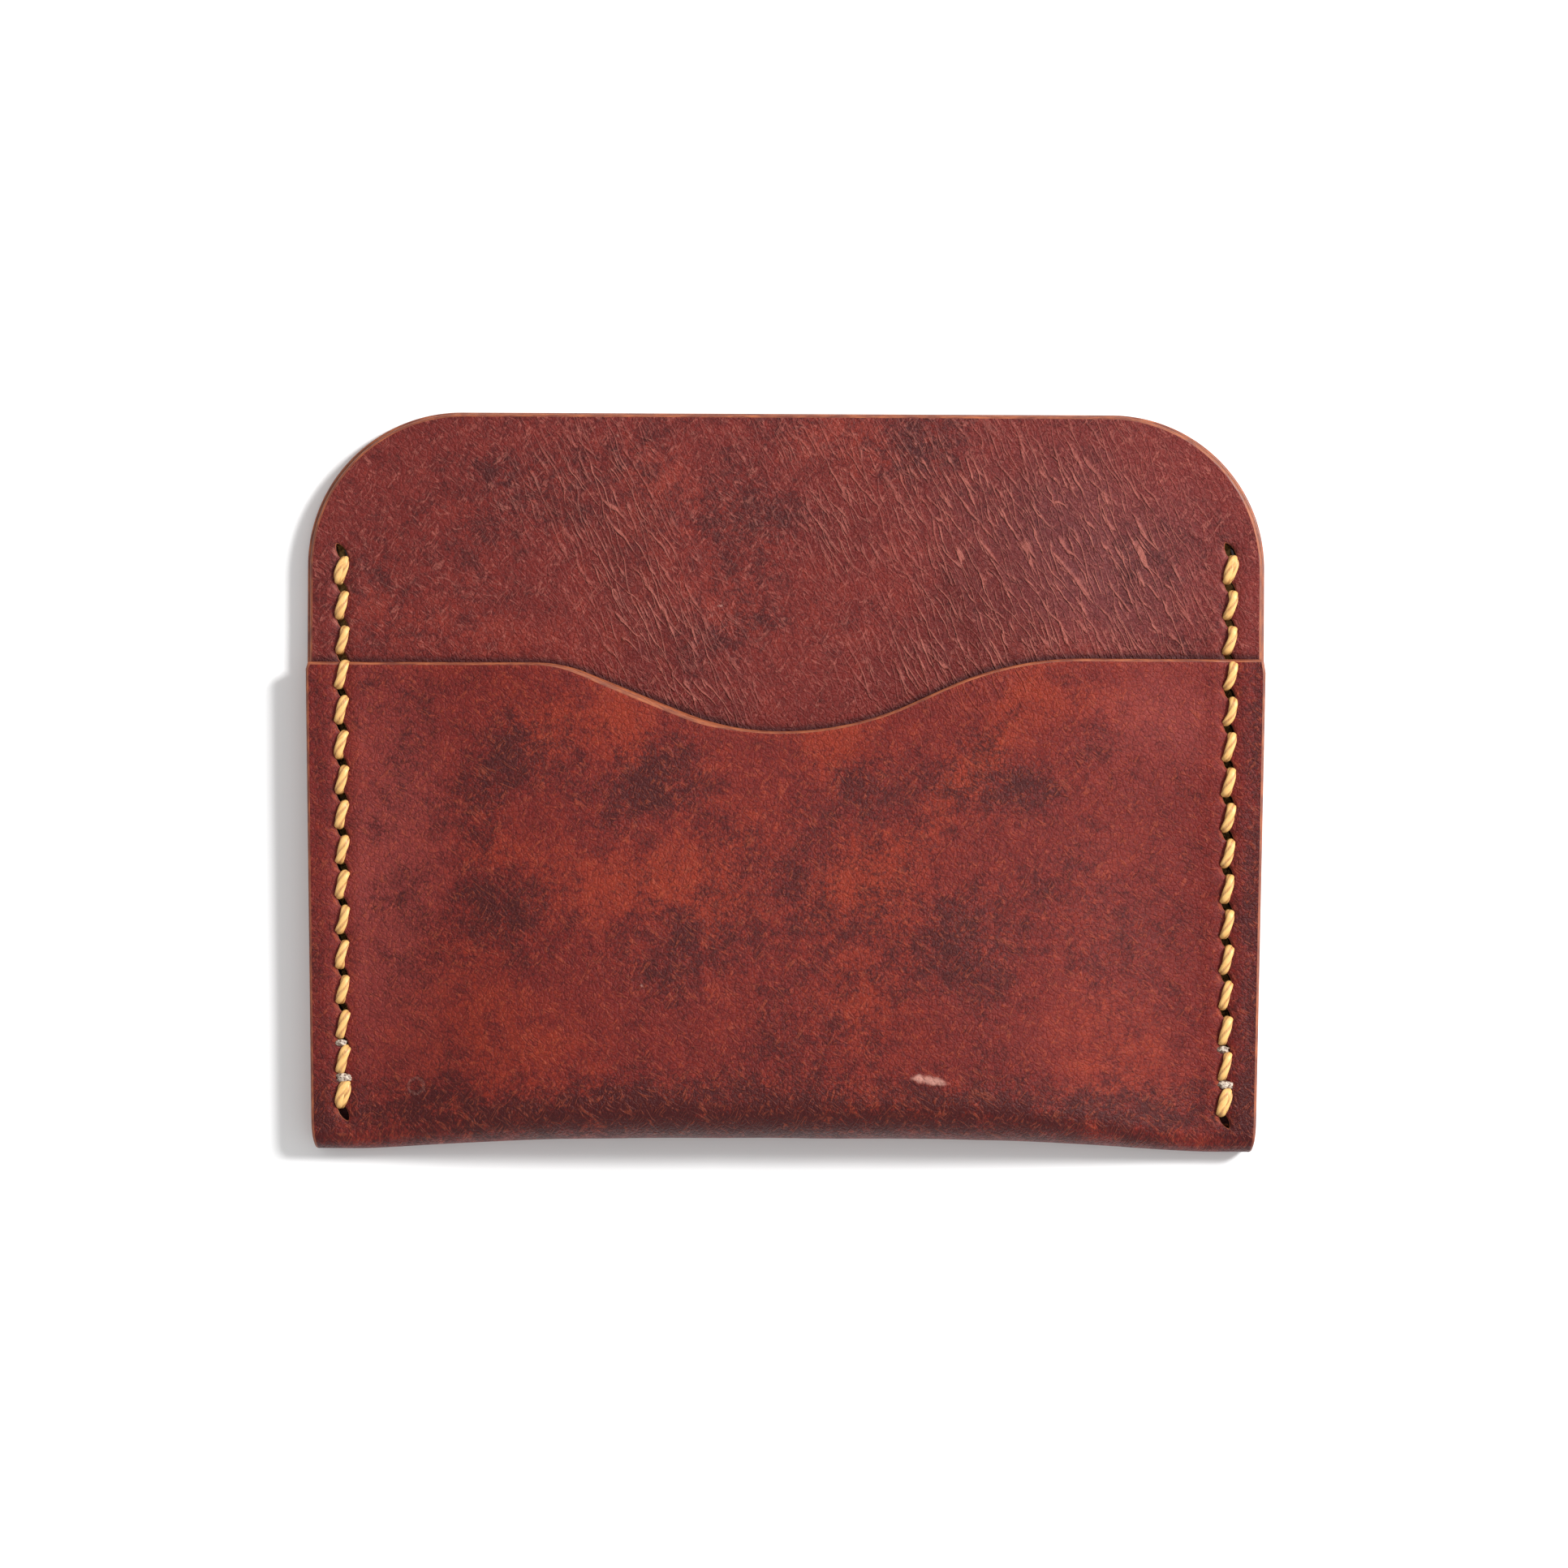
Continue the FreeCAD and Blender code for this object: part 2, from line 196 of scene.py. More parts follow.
def ragged_patches(x, y, spots, seed, wander=3.0):
    wx = x + wander * 2 * (layered_noise(x, y, 6.0, seed) - 0.5)
    wy = y + wander * 2 * (layered_noise(x, y, 6.0, seed + 20) - 0.5)
    return patches(wx, wy, spots)


# -------- how the layers are bent
def rise_share(x):
    """How far a layer rises at x: 0 at the seams, 1 in the middle."""
    return np.maximum(0.0, 1 - (x / PINCH_X) ** 4) ** 2


def half_width(y):
    below = np.maximum(0.0, MOUTH_LEFT_Y - y)
    return WIDTH / 2 - SIDE_TAPER * below / (MOUTH_LEFT_Y + TOP_Y)


def mouth_y(x):
    """Height of the pocket mouth at x: a dip for the thumb between two straight stretches."""
    result = np.empty_like(x)
    for side, level, dip in ((-1, MOUTH_LEFT_Y, LEFT_DIP), (1, MOUTH_RIGHT_Y, RIGHT_DIP)):
        turn = math.radians(dip["slope"])
        low = dip["dip_radius"]
        high = dip["shoulder_radius"]
        ramp = (level - DIP_Y - (low + high) * (1 - math.cos(turn))) / math.sin(turn)
        ramp_start = low * math.sin(turn)
        ramp_end = ramp_start + ramp * math.cos(turn)
        shoulder = ramp_end + high * math.sin(turn)
        out = (x - DIP_X) * side
        in_dip = DIP_Y + low - np.sqrt(low**2 - np.clip(out, 0, ramp_start) ** 2)
        on_ramp = DIP_Y + low * (1 - math.cos(turn)) + (out - ramp_start) * math.tan(turn)
        fall = np.clip(shoulder - out, 0, high * math.sin(turn))
        on_shoulder = level - high + np.sqrt(high**2 - fall**2)
        y = np.where(out < ramp_start, in_dip, np.where(out < ramp_end, on_ramp, on_shoulder))
        mine = out >= 0
        result[mine] = y[mine]
    return result


def seam_point(seam, hole):
    share = hole / STITCHES
    x = seam["side"] * (SEAM_TOP_X + (SEAM_FOOT_X - SEAM_TOP_X) * share)
    return np.array([x, seam["first_hole_y"] - hole * seam["pitch"]])


def seam_dent(x, y):
    """How the pulled thread dents the leather: a trough, deeper at each slit, between soft lips."""
    dent = np.zeros_like(x)
    for seam in SEAMS.values():
        top = seam_point(seam, 0)
        foot = seam_point(seam, STITCHES)
        share = np.clip((top[1] - y) / (top[1] - foot[1]), 0, 1)
        off = x - (top[0] + (foot[0] - top[0]) * share)
        past = np.maximum(0, np.maximum(y - top[1], foot[1] - y))
        fade = np.exp(-((past / TROUGH_END) ** 2))
        dent -= TROUGH_DEPTH * np.exp(-((off / TROUGH_REACH) ** 2)) * fade
        dent += RIM_HEIGHT * np.exp(-(((np.abs(off) - RIM_ASIDE) / RIM_REACH) ** 2)) * fade
        phase = (top[1] - y) / seam["pitch"]
        nearest = np.clip(np.round(phase), 0, STITCHES)
        along = (phase - nearest) * seam["pitch"]
        dent -= PULL_DEPTH * np.exp(-((off / PULL_ACROSS) ** 2) - (along / PULL_ALONG) ** 2)
        lean = off - seam["side"] * SLIT_RIM_LEAN
        slit_end = (np.abs(along) - SLIT_RIM_OFF) / SLIT_RIM_REACH
        dent += RIM_HEIGHT * np.exp(-(lean**2) - slit_end**2) * fade
    return dent


def near_slits(x, y, aside, length, width):
    """Soft marks beside every slit, each aside by some way, leaning as the slits do."""
    slant = math.radians(SLIT_SLANT)
    total = np.zeros_like(x)
    for seam in SEAMS.values():
        for hole in range(STITCHES + 1):
            centre = seam_point(seam, hole)
            off_x = x - centre[0] - aside
            off_y = y - centre[1]
            along = -off_x * math.sin(slant) + off_y * math.cos(slant)
            across = off_x * math.cos(slant) + off_y * math.sin(slant)
            total = np.maximum(total, np.exp(-((along / length) ** 2) - (across / width) ** 2))
    return total


def seam_shade(x, y):
    """Painted shade round each slit."""
    return near_slits(x, y, 0.0, 0.95, 0.55)


def seam_lip_highlight(x, y):
    """Painted highlight: paler lips on both sides of each slit."""
    return np.maximum(near_slits(x, y, -0.75, 0.7, 0.24), 0.7 * near_slits(x, y, 0.85, 0.8, 0.25))


def shell_place(x, s, h, relief):
    """Bends the shell's pattern; s runs from the fold line, up the front and down the back."""
    share = rise_share(x)
    radius = PINCHED_RADIUS + FOLD_SPRING * share
    half_arc = radius * math.pi / 2
    mid_z = SHELL_LEATHER / 2
    angle = np.clip(s / radius, -math.pi / 2, math.pi / 2)
    on_fold = np.abs(s) < half_arc
    bend_y = FOLD_LINE_Y + half_arc
    rise = 2 * FOLD_SPRING * share
    phase = math.pi * np.clip((s - half_arc) / RISE_LENGTH, 0, 1)
    kept = MOUTH_SHARE + (1 - MOUTH_SHARE) * (1 + np.cos(phase)) / 2
    slope = -(1 - MOUTH_SHARE) * np.sin(phase) * math.pi / RISE_LENGTH / 2 * rise
    y = np.where(on_fold, bend_y - radius * np.cos(angle), FOLD_LINE_Y + np.abs(s))
    front_z = mid_z + 2 * PINCHED_RADIUS + rise * kept
    flat_z = np.where(s > 0, front_z, mid_z)
    z = np.where(on_fold, mid_z + radius * (1 + np.sin(angle)), flat_z)
    ny = np.where(on_fold, -np.cos(angle), np.where(s > 0, -slope, 0.0))
    nz = np.where(on_fold, np.sin(angle), np.where(s > 0, 1.0, -1.0))
    front = s > half_arc
    dent = seam_dent(x, y)
    z = z + np.where(front, patches(x, y, MOUTH_LIFTS) + dent, 0.0)
    out = h + relief + np.where(s < -half_arc, dent * BACK_DENT_SHARE, 0.0)
    y = y + ny * out
    z = np.maximum(z + nz * out, 0.0)
    return np.stack([x, y, z], axis=1)


def divider_place(x, y, h, relief):
    """Arches the divider; the seams dent it only above the mouth, where it is bare."""
    z = DIVIDER_MID_Z + DIVIDER_ARCH * rise_share(x)
    bared = np.clip((y - mouth_y(x)) / 0.8 + 0.5, 0, 1)
    z = z + seam_dent(x, y) * bared + h + relief
    return np.stack([x, y, z], axis=1)


# -------- outlines on the flat pattern
def corner_arc(centre, radius, start_deg, end_deg):
    steps = max(6, int(radius * math.radians(abs(end_deg - start_deg)) / OUTLINE_STEP))
    angles = np.radians(np.linspace(start_deg, end_deg, steps + 1))
    x = centre[0] + radius * np.cos(angles)
    return np.stack([x, centre[1] + radius * np.sin(angles)], axis=1)


def evenly(loop, step):
    """The closed loop again, with its long edges divided into steps."""
    made = []
    for start, end in zip(loop, np.roll(loop, -1, axis=0)):
        count = max(1, int(round(np.linalg.norm(end - start) / step)))
        made.append(start + (end - start) * (np.arange(count) / count)[:, None])
    points = np.concatenate(made)
    return points[np.linalg.norm(points - np.roll(points, 1, axis=0), axis=1) > 1e-4]


def shell_outline():
    """Anticlockwise in (x, s): back end, right side, mouth, left side."""
    back_end = TOP_Y - FOLD_LINE_Y
    corner_s = -(back_end - TOP_CORNER_RADIUS)
    corner_x = WIDTH / 2 - TOP_CORNER_RADIUS
    left_back = corner_arc((-corner_x, corner_s), TOP_CORNER_RADIUS, 180, 270)
    right_back = corner_arc((corner_x, corner_s), TOP_CORNER_RADIUS, 270, 360)
    side_s = np.linspace(-(MOUTH_LEFT_Y - FOLD_LINE_Y), MOUTH_LEFT_Y - FOLD_LINE_Y - 0.8, 140)
    side_x = half_width(FOLD_LINE_Y + np.abs(side_s)) - 0.35 * np.exp(-((side_s / 1.5) ** 2))
    right_side = np.stack([side_x, side_s], axis=1)
    left_side = np.stack([-side_x, side_s], axis=1)[::-1]
    mouth_x = np.linspace(WIDTH / 2 - 0.25, -WIDTH / 2 + 0.25, 300)
    mouth = np.stack([mouth_x, mouth_y(mouth_x) - FOLD_LINE_Y], axis=1)
    sides = [left_back, right_back, right_side, mouth, left_side]
    return evenly(np.concatenate(sides), OUTLINE_STEP)


def divider_outline():
    """Anticlockwise in (x, y): foot, right side, top, left side."""
    half = WIDTH / 2 - DIVIDER_SIDE_INSET
    top = TOP_Y - DIVIDER_TOP_INSET
    corner_y = top - TOP_CORNER_RADIUS
    corner_x = half - TOP_CORNER_RADIUS
    foot_half = float(half_width(np.array(-DIVIDER_FOOT))) - DIVIDER_SIDE_INSET
    foot_x = np.linspace(-foot_half, foot_half, 60)
    foot_y = -DIVIDER_FOOT - DIVIDER_FOOT_DROP * (foot_x / (WIDTH / 2)) ** 2
    side_y = np.linspace(foot_y[0] + 0.5, MOUTH_LEFT_Y, 40)
    side_x = half_width(side_y) - DIVIDER_SIDE_INSET
    foot = np.stack([foot_x, foot_y], axis=1)
    right_side = np.stack([side_x, side_y], axis=1)
    left_side = np.stack([-side_x, side_y], axis=1)[::-1]
    right_top = corner_arc((corner_x, corner_y), TOP_CORNER_RADIUS, 0, 90)
    left_top = corner_arc((-corner_x, corner_y), TOP_CORNER_RADIUS, 90, 180)
    sides = [foot, right_side, right_top, left_top, left_side]
    return evenly(np.concatenate(sides), OUTLINE_STEP)


def inset(loop, distance):
    """The anticlockwise loop moved inwards; sharp corners move along their bisector."""
    before = loop - np.roll(loop, 1, axis=0)
    after = np.roll(loop, -1, axis=0) - loop
    before /= np.maximum(np.linalg.norm(before, axis=1), 1e-9)[:, None]
    after /= np.maximum(np.linalg.norm(after, axis=1), 1e-9)[:, None]
    inward = np.stack([-(before + after)[:, 1], (before + after)[:, 0]], axis=1)
    length = np.maximum(np.linalg.norm(inward, axis=1), 1e-9)
    cosine = np.maximum(length / 2, 0.6)
    return loop + inward / length[:, None] * (distance / cosine)[:, None]


def slit_loops(seam, place_s, mirrored):
    """Diamond slits of one seam on a pattern; place_s turns a height into s."""
    slant = math.radians(SLIT_SLANT)
    along = np.array([-math.sin(slant), math.cos(slant)])
    across = np.array([math.cos(slant), math.sin(slant)])
    rng = np.random.default_rng(seam["seed"])
    loops = []
    for hole in range(STITCHES + 1):
        middle = seam_point(seam, hole)
        length = SLIT_HALF_LENGTH + 0.06 * rng.normal()
        width = SLIT_HALF_WIDTH + 0.03 * rng.normal()
        points = []
        for turn in np.arange(SLIT_CORNERS) * math.pi / (SLIT_CORNERS / 2):
            blade = math.cos(turn) * length
            belly = math.copysign(abs(math.sin(turn)) ** 1.4, math.sin(turn)) * width
            points.append(middle + along * blade - across * belly)
        loop = np.array(points)
        loop[:, 1] = place_s(loop[:, 1])
        loops.append(loop[::-1] if mirrored else loop)
    return loops


# -------- triangulated leather panels
GRAIN_SLOT, EDGE_SLOT, FLESH_SLOT, SLIT_SLOT = range(4)   # the order of a panel's materials


def hex_points(low, high, step):
    """Points of a triangular grid between two corners."""
    xs = np.arange(low[0], high[0], step)
    ys = np.arange(low[1], high[1], step * math.sqrt(0.75))
    grid_x, grid_y = np.meshgrid(xs, ys)
    grid_x = grid_x + (np.arange(len(ys)) % 2)[:, None] * step / 2
    return np.stack([grid_x.ravel(), grid_y.ravel()], axis=1)


def inside(points, loop):
    """Even-odd test of each point against a closed loop."""
    result = np.zeros(len(points), dtype=bool)
    for (ax, ay), (bx, by) in zip(loop, np.roll(loop, -1, axis=0)):
        if ay == by:
            continue
        spans = (points[:, 1] > ay) != (points[:, 1] > by)
        crossing = ax + (points[:, 1] - ay) * (bx - ax) / (by - ay)
        result ^= spans & (points[:, 0] < crossing)
    return result


def clear_of(points, loop, distance):
    """Which points lie farther than a distance from every point of the loop."""
    result = np.ones(len(points), dtype=bool)
    batch = 2000
    for start in range(0, len(points), batch):
        some = points[start:start + batch]
        gaps = np.hypot(some[:, None, 0] - loop[None, :, 0], some[:, None, 1] - loop[None, :, 1])
        result[start:start + batch] = gaps.min(axis=1) > distance
    return result


def fill(loop, holes, bands):
    """Triangles that fill a loop around holes. Each band is (low s, high s, spacing)."""
    hole_reach = 2.5
    hole_margin = 1.25
    points = []
    for low_s, high_s, step in bands:
        low = (loop[:, 0].min(), low_s)
        grid = hex_points(low, (loop[:, 0].max(), high_s), step)
        grid = grid[inside(grid, loop)]
        grid = grid[clear_of(grid, loop, step * 0.6)]
        for hole in holes:
            centre = hole.mean(axis=0)
            near = np.abs(grid - centre).max(axis=1) < hole_reach
            drop = np.zeros(len(grid), dtype=bool)
            drop[near] = inside(grid[near], centre + (hole - centre) * hole_margin)
            grid = grid[~drop]
        points.append(grid)
    rings = [loop] + holes
    ends = np.cumsum([len(ring) for ring in rings])
    corners_of = [
        list(range(end - len(ring), end)) for ring, end in zip(rings, ends.tolist())
    ]
    edges = []
    for corners in corners_of:
        edges += zip(corners, corners[1:] + corners[:1])
    flat = np.concatenate(rings + points)
    made = delaunay_2d_cdt([Vector(p) for p in flat], edges, [], 0, 1e-7, True)
    places = np.array([(v.x, v.y) for v in made[0]])
    faces = np.array(made[2])
    ring_of = np.full(len(places), -1)
    where = {}
    for index, origins in enumerate(made[3]):
        if origins and origins[0] < ends[-1]:
            ring_of[index] = int(np.searchsorted(ends, origins[0], side="right"))
            where[origins[0]] = index
    same = ring_of[faces]
    on_ring = (same[:, 0] >= 0) & (same[:, 0] == same[:, 1]) & (same[:, 1] == same[:, 2])
    keep = np.ones(len(faces), dtype=bool)
    middles = places[faces].mean(axis=1)
    for index, ring in enumerate(rings):
        mine = on_ring & (same[:, 0] == index)
        keep[mine] = inside(middles[mine], ring) == (index == 0)
    ring_ids = [np.array([where[corner] for corner in corners]) for corners in corners_of]
    return places, faces[keep], ring_ids


def add_object(name, data):
    made = bpy.data.objects.new(name, data)
    bpy.context.scene.collection.objects.link(made)
    return made


def add_piece(name, places, faces, slots, pattern, masks):
    """Smooth mesh with a material slot for each face and the values that its materials read."""
    mesh = bpy.data.meshes.new(name)
    mesh.from_pydata(places * MM, [], faces)
    mesh.polygons.foreach_set("material_index", slots)
    mesh.polygons.foreach_set("use_smooth", np.ones(len(faces), dtype=bool))
    layer = mesh.attributes.new("pattern", "FLOAT_VECTOR", "POINT")
    layer.data.foreach_set("vector", pattern.astype(np.float32).ravel())
    for label, values in masks.items():
        layer = mesh.attributes.new(label, "FLOAT", "POINT")
        layer.data.foreach_set("value", np.clip(values, -1, 2).astype(np.float32))
    return add_object(name, mesh)


def leather_panel(
    name, outline, edge_round, holes, thickness, place, look_at, grain_bands, flesh_bands
):
    """Closed panel: grain face, rounded cut edge, flesh face and slit walls, bent into place."""
    half = thickness / 2
    middles = [hole.mean(axis=0) for hole in holes]
    open_holes = [centre + (hole - centre) * SLIT_OPENING for hole, centre in zip(holes, middles)]
    grain, grain_faces, grain_rings = fill(inset(outline, edge_round), open_holes, grain_bands)
    flesh, flesh_faces, flesh_rings = fill(inset(outline, FLESH_ROUND), holes, flesh_bands)
    coords = []

    def add_points(points, height):
        start = sum(len(some) for some in coords)
        coords.append(np.column_stack([points, np.broadcast_to(height, len(points))]))
        return np.arange(start, start + len(points))

    add_points(grain, half)
    flesh_start = add_points(flesh, -half)[0]
    faces = [grain_faces, flesh_faces[:, ::-1] + flesh_start]
    slots = [np.full(len(grain_faces), GRAIN_SLOT), np.full(len(flesh_faces), FLESH_SLOT)]

    def strip(upper, lower, slot, flip):
        after_upper = np.roll(upper, -1)
        after_lower = np.roll(lower, -1)
        one = np.column_stack([upper, lower, after_lower])
        two = np.column_stack([upper, after_lower, after_upper])
        both = np.concatenate([one, two])
        faces.append(both[:, ::-1] if flip else both)
        slots.append(np.full(len(both), slot))

    rows = [grain_rings[0]]
    for step in range(1, GRAIN_EDGE_ROWS + 1):
        turn = math.pi / 2 * step / GRAIN_EDGE_ROWS
        ring = inset(outline, edge_round * (1 - math.sin(turn)))
        rows.append(add_points(ring, half - edge_round * (1 - math.cos(turn))))
    for step in range(FLESH_EDGE_ROWS):
        turn = math.pi / 2 * step / FLESH_EDGE_ROWS
        ring = inset(outline, FLESH_ROUND * (1 - math.cos(turn)))
        rows.append(add_points(ring, -half + FLESH_ROUND * (1 - math.sin(turn))))
    rows.append(flesh_rings[0] + flesh_start)
    for upper, lower in zip(rows, rows[1:]):
        strip(upper, lower, EDGE_SLOT, False)
    for hole, top_ring, foot_ring in zip(holes, grain_rings[1:], flesh_rings[1:]):
        middle = add_points(hole, half - SLIT_LIP_DEPTH)
        strip(top_ring, middle, EDGE_SLOT, True)
        strip(middle, foot_ring + flesh_start, SLIT_SLOT, True)
    coords = np.concatenate(coords)
    x, s, h = coords.T
    relief, masks = look_at(x, s)
    places = place(x, s, h, relief * np.clip(h / half, 0, 1))
    return add_piece(name, places, np.concatenate(faces), np.concatenate(slots), coords, masks)


# -------- what the hide looks like
# Each spot is (x, y, reach along, reach across, turn in degrees, strength).
WRINKLE_FIELDS = [
    (22, 20, 7, 11, 0, 1.0), (32, 27, 9, 11, 0, 0.62), (41, 20, 6, 10, 0, 0.4),
    (-17.5, 24, 5, 11, 10, 0.7), (-25, 32, 6, 6, 0, 0.35), (6, 27, 5, 5, 0, 0.5),
    (3, 36, 10, 4, 0, 0.3), (-8, 8, 4, 3.5, 0, 0.6), (12, 13, 6, 4, 0, 0.4),
    (-12, 15, 6, 5, 0, 0.45), (17, 34, 8, 5, 0, 0.35),
]
DIVIDER_DARK = [
    (-29, 32, 8, 6, 0, 0.7), (-34, 22, 6, 7, 0, 0.35), (-5, 29, 7, 6, 0, 0.75),
    (13, 36, 7, 4, 0, 0.8), (-16, 36, 5, 4, 0, 0.4), (40, 25, 7, 5, 0, 0.55),
    (-6, 17, 7, 4, 0, 0.45), (24, 31, 7, 5, 0, 0.3), (-46, 20, 4, 6, 0, 0.45),
    (6, 18, 5, 4, 0, 0.35), (45, 14, 4, 4, 0, 0.3),
]
DIVIDER_WARM = [
    (4, 38, 6, 3.5, 0, 0.55), (-15, 32, 6, 5, 0, 0.5), (-42, 17, 6, 5, 0, 0.4),
    (-6, 20, 6, 4, 0, 0.35), (-17, 22, 5, 6, 0, 0.4), (14, 24, 6, 6, 0, 0.3),
    (29, 15, 8, 4, 0, 0.3), (-32, 15, 8, 4, 0, 0.3),
]
# Dark marbling patches of the front; the long band at y -36.5 is painted shade where the front turns
# down into the fold.
FRONT_DARK_AND_FOLD_SHADE = [
    (-29, 4, 6, 5, 0, 0.85), (-35, -3, 4, 4, 0, 0.6), (-15, 0, 6, 4.5, 30, 0.85),
    (22, 0.5, 9, 4.5, 0, 0.75), (-31, -14, 7, 5, 0, 0.8), (-12, -19, 7, 5, 0, 0.55),
    (20, -17, 9, 7, 0, 0.7), (2, -13, 4, 4, 0, 0.35), (35, -14, 6, 9, 0, 0.45),
    (-43, -2, 4, 12, 0, 0.35), (4, -28, 10, 5, 0, 0.35), (-40, -22, 4, 8, 0, 0.3),
    (37, 6, 8, 6, 0, 0.3), (8, -1.5, 4, 3, 0, 0.4), (-5, -36.5, 42, 3, 0, 0.9),
    (0, -14, 20, 16, 0, 0.3),
]
FRONT_WARM = [
    (-19, 6, 6, 5, 0, 0.85), (6.5, 4, 5, 3, 0, 0.8), (-15, -11, 10, 4.5, 10, 0.85),
    (9, -10.5, 6, 4.5, 20, 0.85), (21, 2, 13, 2.4, 52, 0.8), (-32, -7, 6, 3, -10, 0.5),
    (-34, -27, 7, 9, 0, 0.45), (38, -30, 6, 8, 40, 0.6), (8, -22, 8, 5, 60, 0.5),
    (-4, -5, 5, 4, 0, 0.45), (31, 9, 7, 3, 0, 0.5), (-24, -30, 10, 3, 0, 0.35),
    (2, -34, 20, 2, 0, 0.3), (-6, -13, 5, 4, 0, 0.4),
]
DIVIDER_MARKS = [
    (-18.6, 38.1, 0.12, 0.45, 10, 1.0), (-6.9, 19.5, 1.1, 0.18, 15, 0.7),
    (-8.2, 18.2, 0.3, 0.15, 0, 0.6), (24, 14, 0.7, 0.12, 40, 0.5), (-22, 36, 0.15, 0.6, 20, 0.4),
]
FRONT_MARKS = [
    (16, -32.7, 2, 0.52, -8, 1.1), (14.6, -32.3, 0.5, 0.25, 20, 0.8),
    (-2.6, -31.9, 0.7, 0.18, 0, 0.45), (-15.6, -22.5, 0.16, 0.42, 15, 0.8),
    (-13.9, -7.1, 0.3, 0.16, 0, 0.7), (-17, 2.6, 0.3, 0.2, 0, 0.5), (7, -31, 0.5, 0.12, 0, 0.35),
    (17, -22.6, 0.35, 0.12, 40, 0.4), (-8, -31, 0.5, 0.15, 10, 0.3),
]
# Patches of wax bloom with painted sheen on them: the shell's, then the divider's.
PALE_BLOOM_AND_SHEEN = [(41, 8, 8, 7, 0, 0.7), (39, -10, 7, 18, 0, 0.2), (-44, -10, 7, 24, 0, 0.8)]
DIVIDER_BLOOM_AND_SHEEN = [(36, 24, 12, 12, 0, 0.75), (20, 30, 12, 9, 0, 0.3)]
SHELL_FIELDS = [(20, 52, 9, 4, 0, 0.3), (-2, -60, 24, 10, 0, 0.5)]
RING_X = -40.5
RING_Y = -33.7
RING_RADIUS = 0.85
RING_LINE = 0.28
FOLD_LEAN = -62.0             # direction of the crinkles, in degrees


def soft_folds(x, y, strength, seed):
    """Shallow raised folds of crinkled leather, running steeply down to the right."""
    lean = math.radians(FOLD_LEAN)
    along = x * math.cos(lean) + y * math.sin(lean)
    across = y * math.cos(lean) - x * math.sin(lean)
    across = across + 1.2 * (layered_noise(x, y, 5.0, seed, 2) - 0.5)
    wide = 1 - np.abs(2 * lattice_noise(across, along * 0.30, 2.4, seed + 5) - 1)
    narrow = 1 - np.abs(2 * lattice_noise(across, along * 0.35, 1.5, seed + 6) - 1)
    return (0.11 * wide**2 + 0.06 * narrow**2) * np.clip(strength, 0, 1.1)


def hide_masks(x, y, dark_spots, warm_spots, seed):
    """Pull-up marbling: dark waxy patches and warm patches where the leather was flexed."""
    mottle = layered_noise(x, y, 5.0, seed, 5) - 0.5
    cloud = layered_noise(x, y, 13.0, seed + 40, 4) - 0.5
    dark = ragged_patches(x, y, dark_spots, seed + 60) + 0.9 * mottle + 0.5 * cloud
    warm = ragged_patches(x, y, warm_spots, seed + 90) - 0.9 * mottle - 0.3 * cloud
    return dark, warm


def divider_look(x, y):
    """Relief and colour masks of the divider."""
    fields = ragged_patches(x, y, WRINKLE_FIELDS, 505, wander=2.0)
    dark, warm = hide_masks(x, y, DIVIDER_DARK, DIVIDER_WARM, 600)
    top_edge = np.clip((y - (TOP_Y - 3.5)) / 3.0, 0, 1)
    mouth_shade = np.exp(-((np.maximum(0, y - mouth_y(x)) / 0.7) ** 2))
    relief = 0.08 * (layered_noise(x, y, 6.0, 640, 3) - 0.5) + soft_folds(x, y, fields, 660)
    masks = {
        "dark": dark + 0.25 * top_edge,
        "warm": warm,
        "crease": fields + 0.12,
        "bloom": ragged_patches(x, y, DIVIDER_BLOOM_AND_SHEEN, 650),
        "lip": seam_lip_highlight(x, y),
        "shade": mouth_shade + seam_shade(x, y),
        "mark": marks_on(x, y, DIVIDER_MARKS),
    }
    return relief, masks


def marks_on(x, y, spots):
    """Small scars and scuffs, broken up by fine noise."""
    return patches(x, y, spots) * (0.4 + 0.9 * lattice_noise(x, y, 0.5, 707))


def shell_look(x, s):
    """Relief and colour masks of the shell; the front and the back are dyed as one hide."""
    y = FOLD_LINE_Y + np.abs(s)
    front = s > 0
    dark, warm = hide_masks(x, s, [], [], 800)
    front_y = np.where(front, y, -TOP_Y)
    dark = dark + np.where(front, ragged_patches(x, front_y, FRONT_DARK_AND_FOLD_SHADE, 860), 0.0)
    warm = warm + np.where(front, ragged_patches(x, front_y, FRONT_WARM, 890), 0.0)
    side = half_width(y) - np.abs(x)
    margin = np.clip(1 - (side - 1.0) / 3.2, 0, 1) * np.where(x > 0, 1.0, 0.6)
    # Painted shade where the front turns down into the fold.
    fold_shade_band = np.exp(-(((s - 4.0) / 4.5) ** 2))
    fields = ragged_patches(x, s, SHELL_FIELDS, 905)
    off_ring = np.hypot(x - RING_X, front_y - RING_Y) - RING_RADIUS
    ring = np.exp(-((off_ring / RING_LINE) ** 2))
    mouth_worn = np.exp(-(((mouth_y(x) - y) / 0.9) ** 2)) * front
    relief = 0.12 * (layered_noise(x, s, 9.0, 940, 3) - 0.5) - 0.05 * ring
    relief = relief + soft_folds(x, s, fields, 960)
    masks = {
        "dark": dark + 0.75 * margin + 0.55 * fold_shade_band + 0.4 * ring,
        "warm": warm + 0.35 * mouth_worn - 0.4 * margin,
        "crease": fields + 0.08,
        "lip": seam_lip_highlight(x, y),
        "bloom": ragged_patches(x, front_y, PALE_BLOOM_AND_SHEEN, 950),
        "shade": seam_shade(x, y),
        "mark": marks_on(x, front_y, FRONT_MARKS) + 0.5 * ring,
    }
    return relief, masks


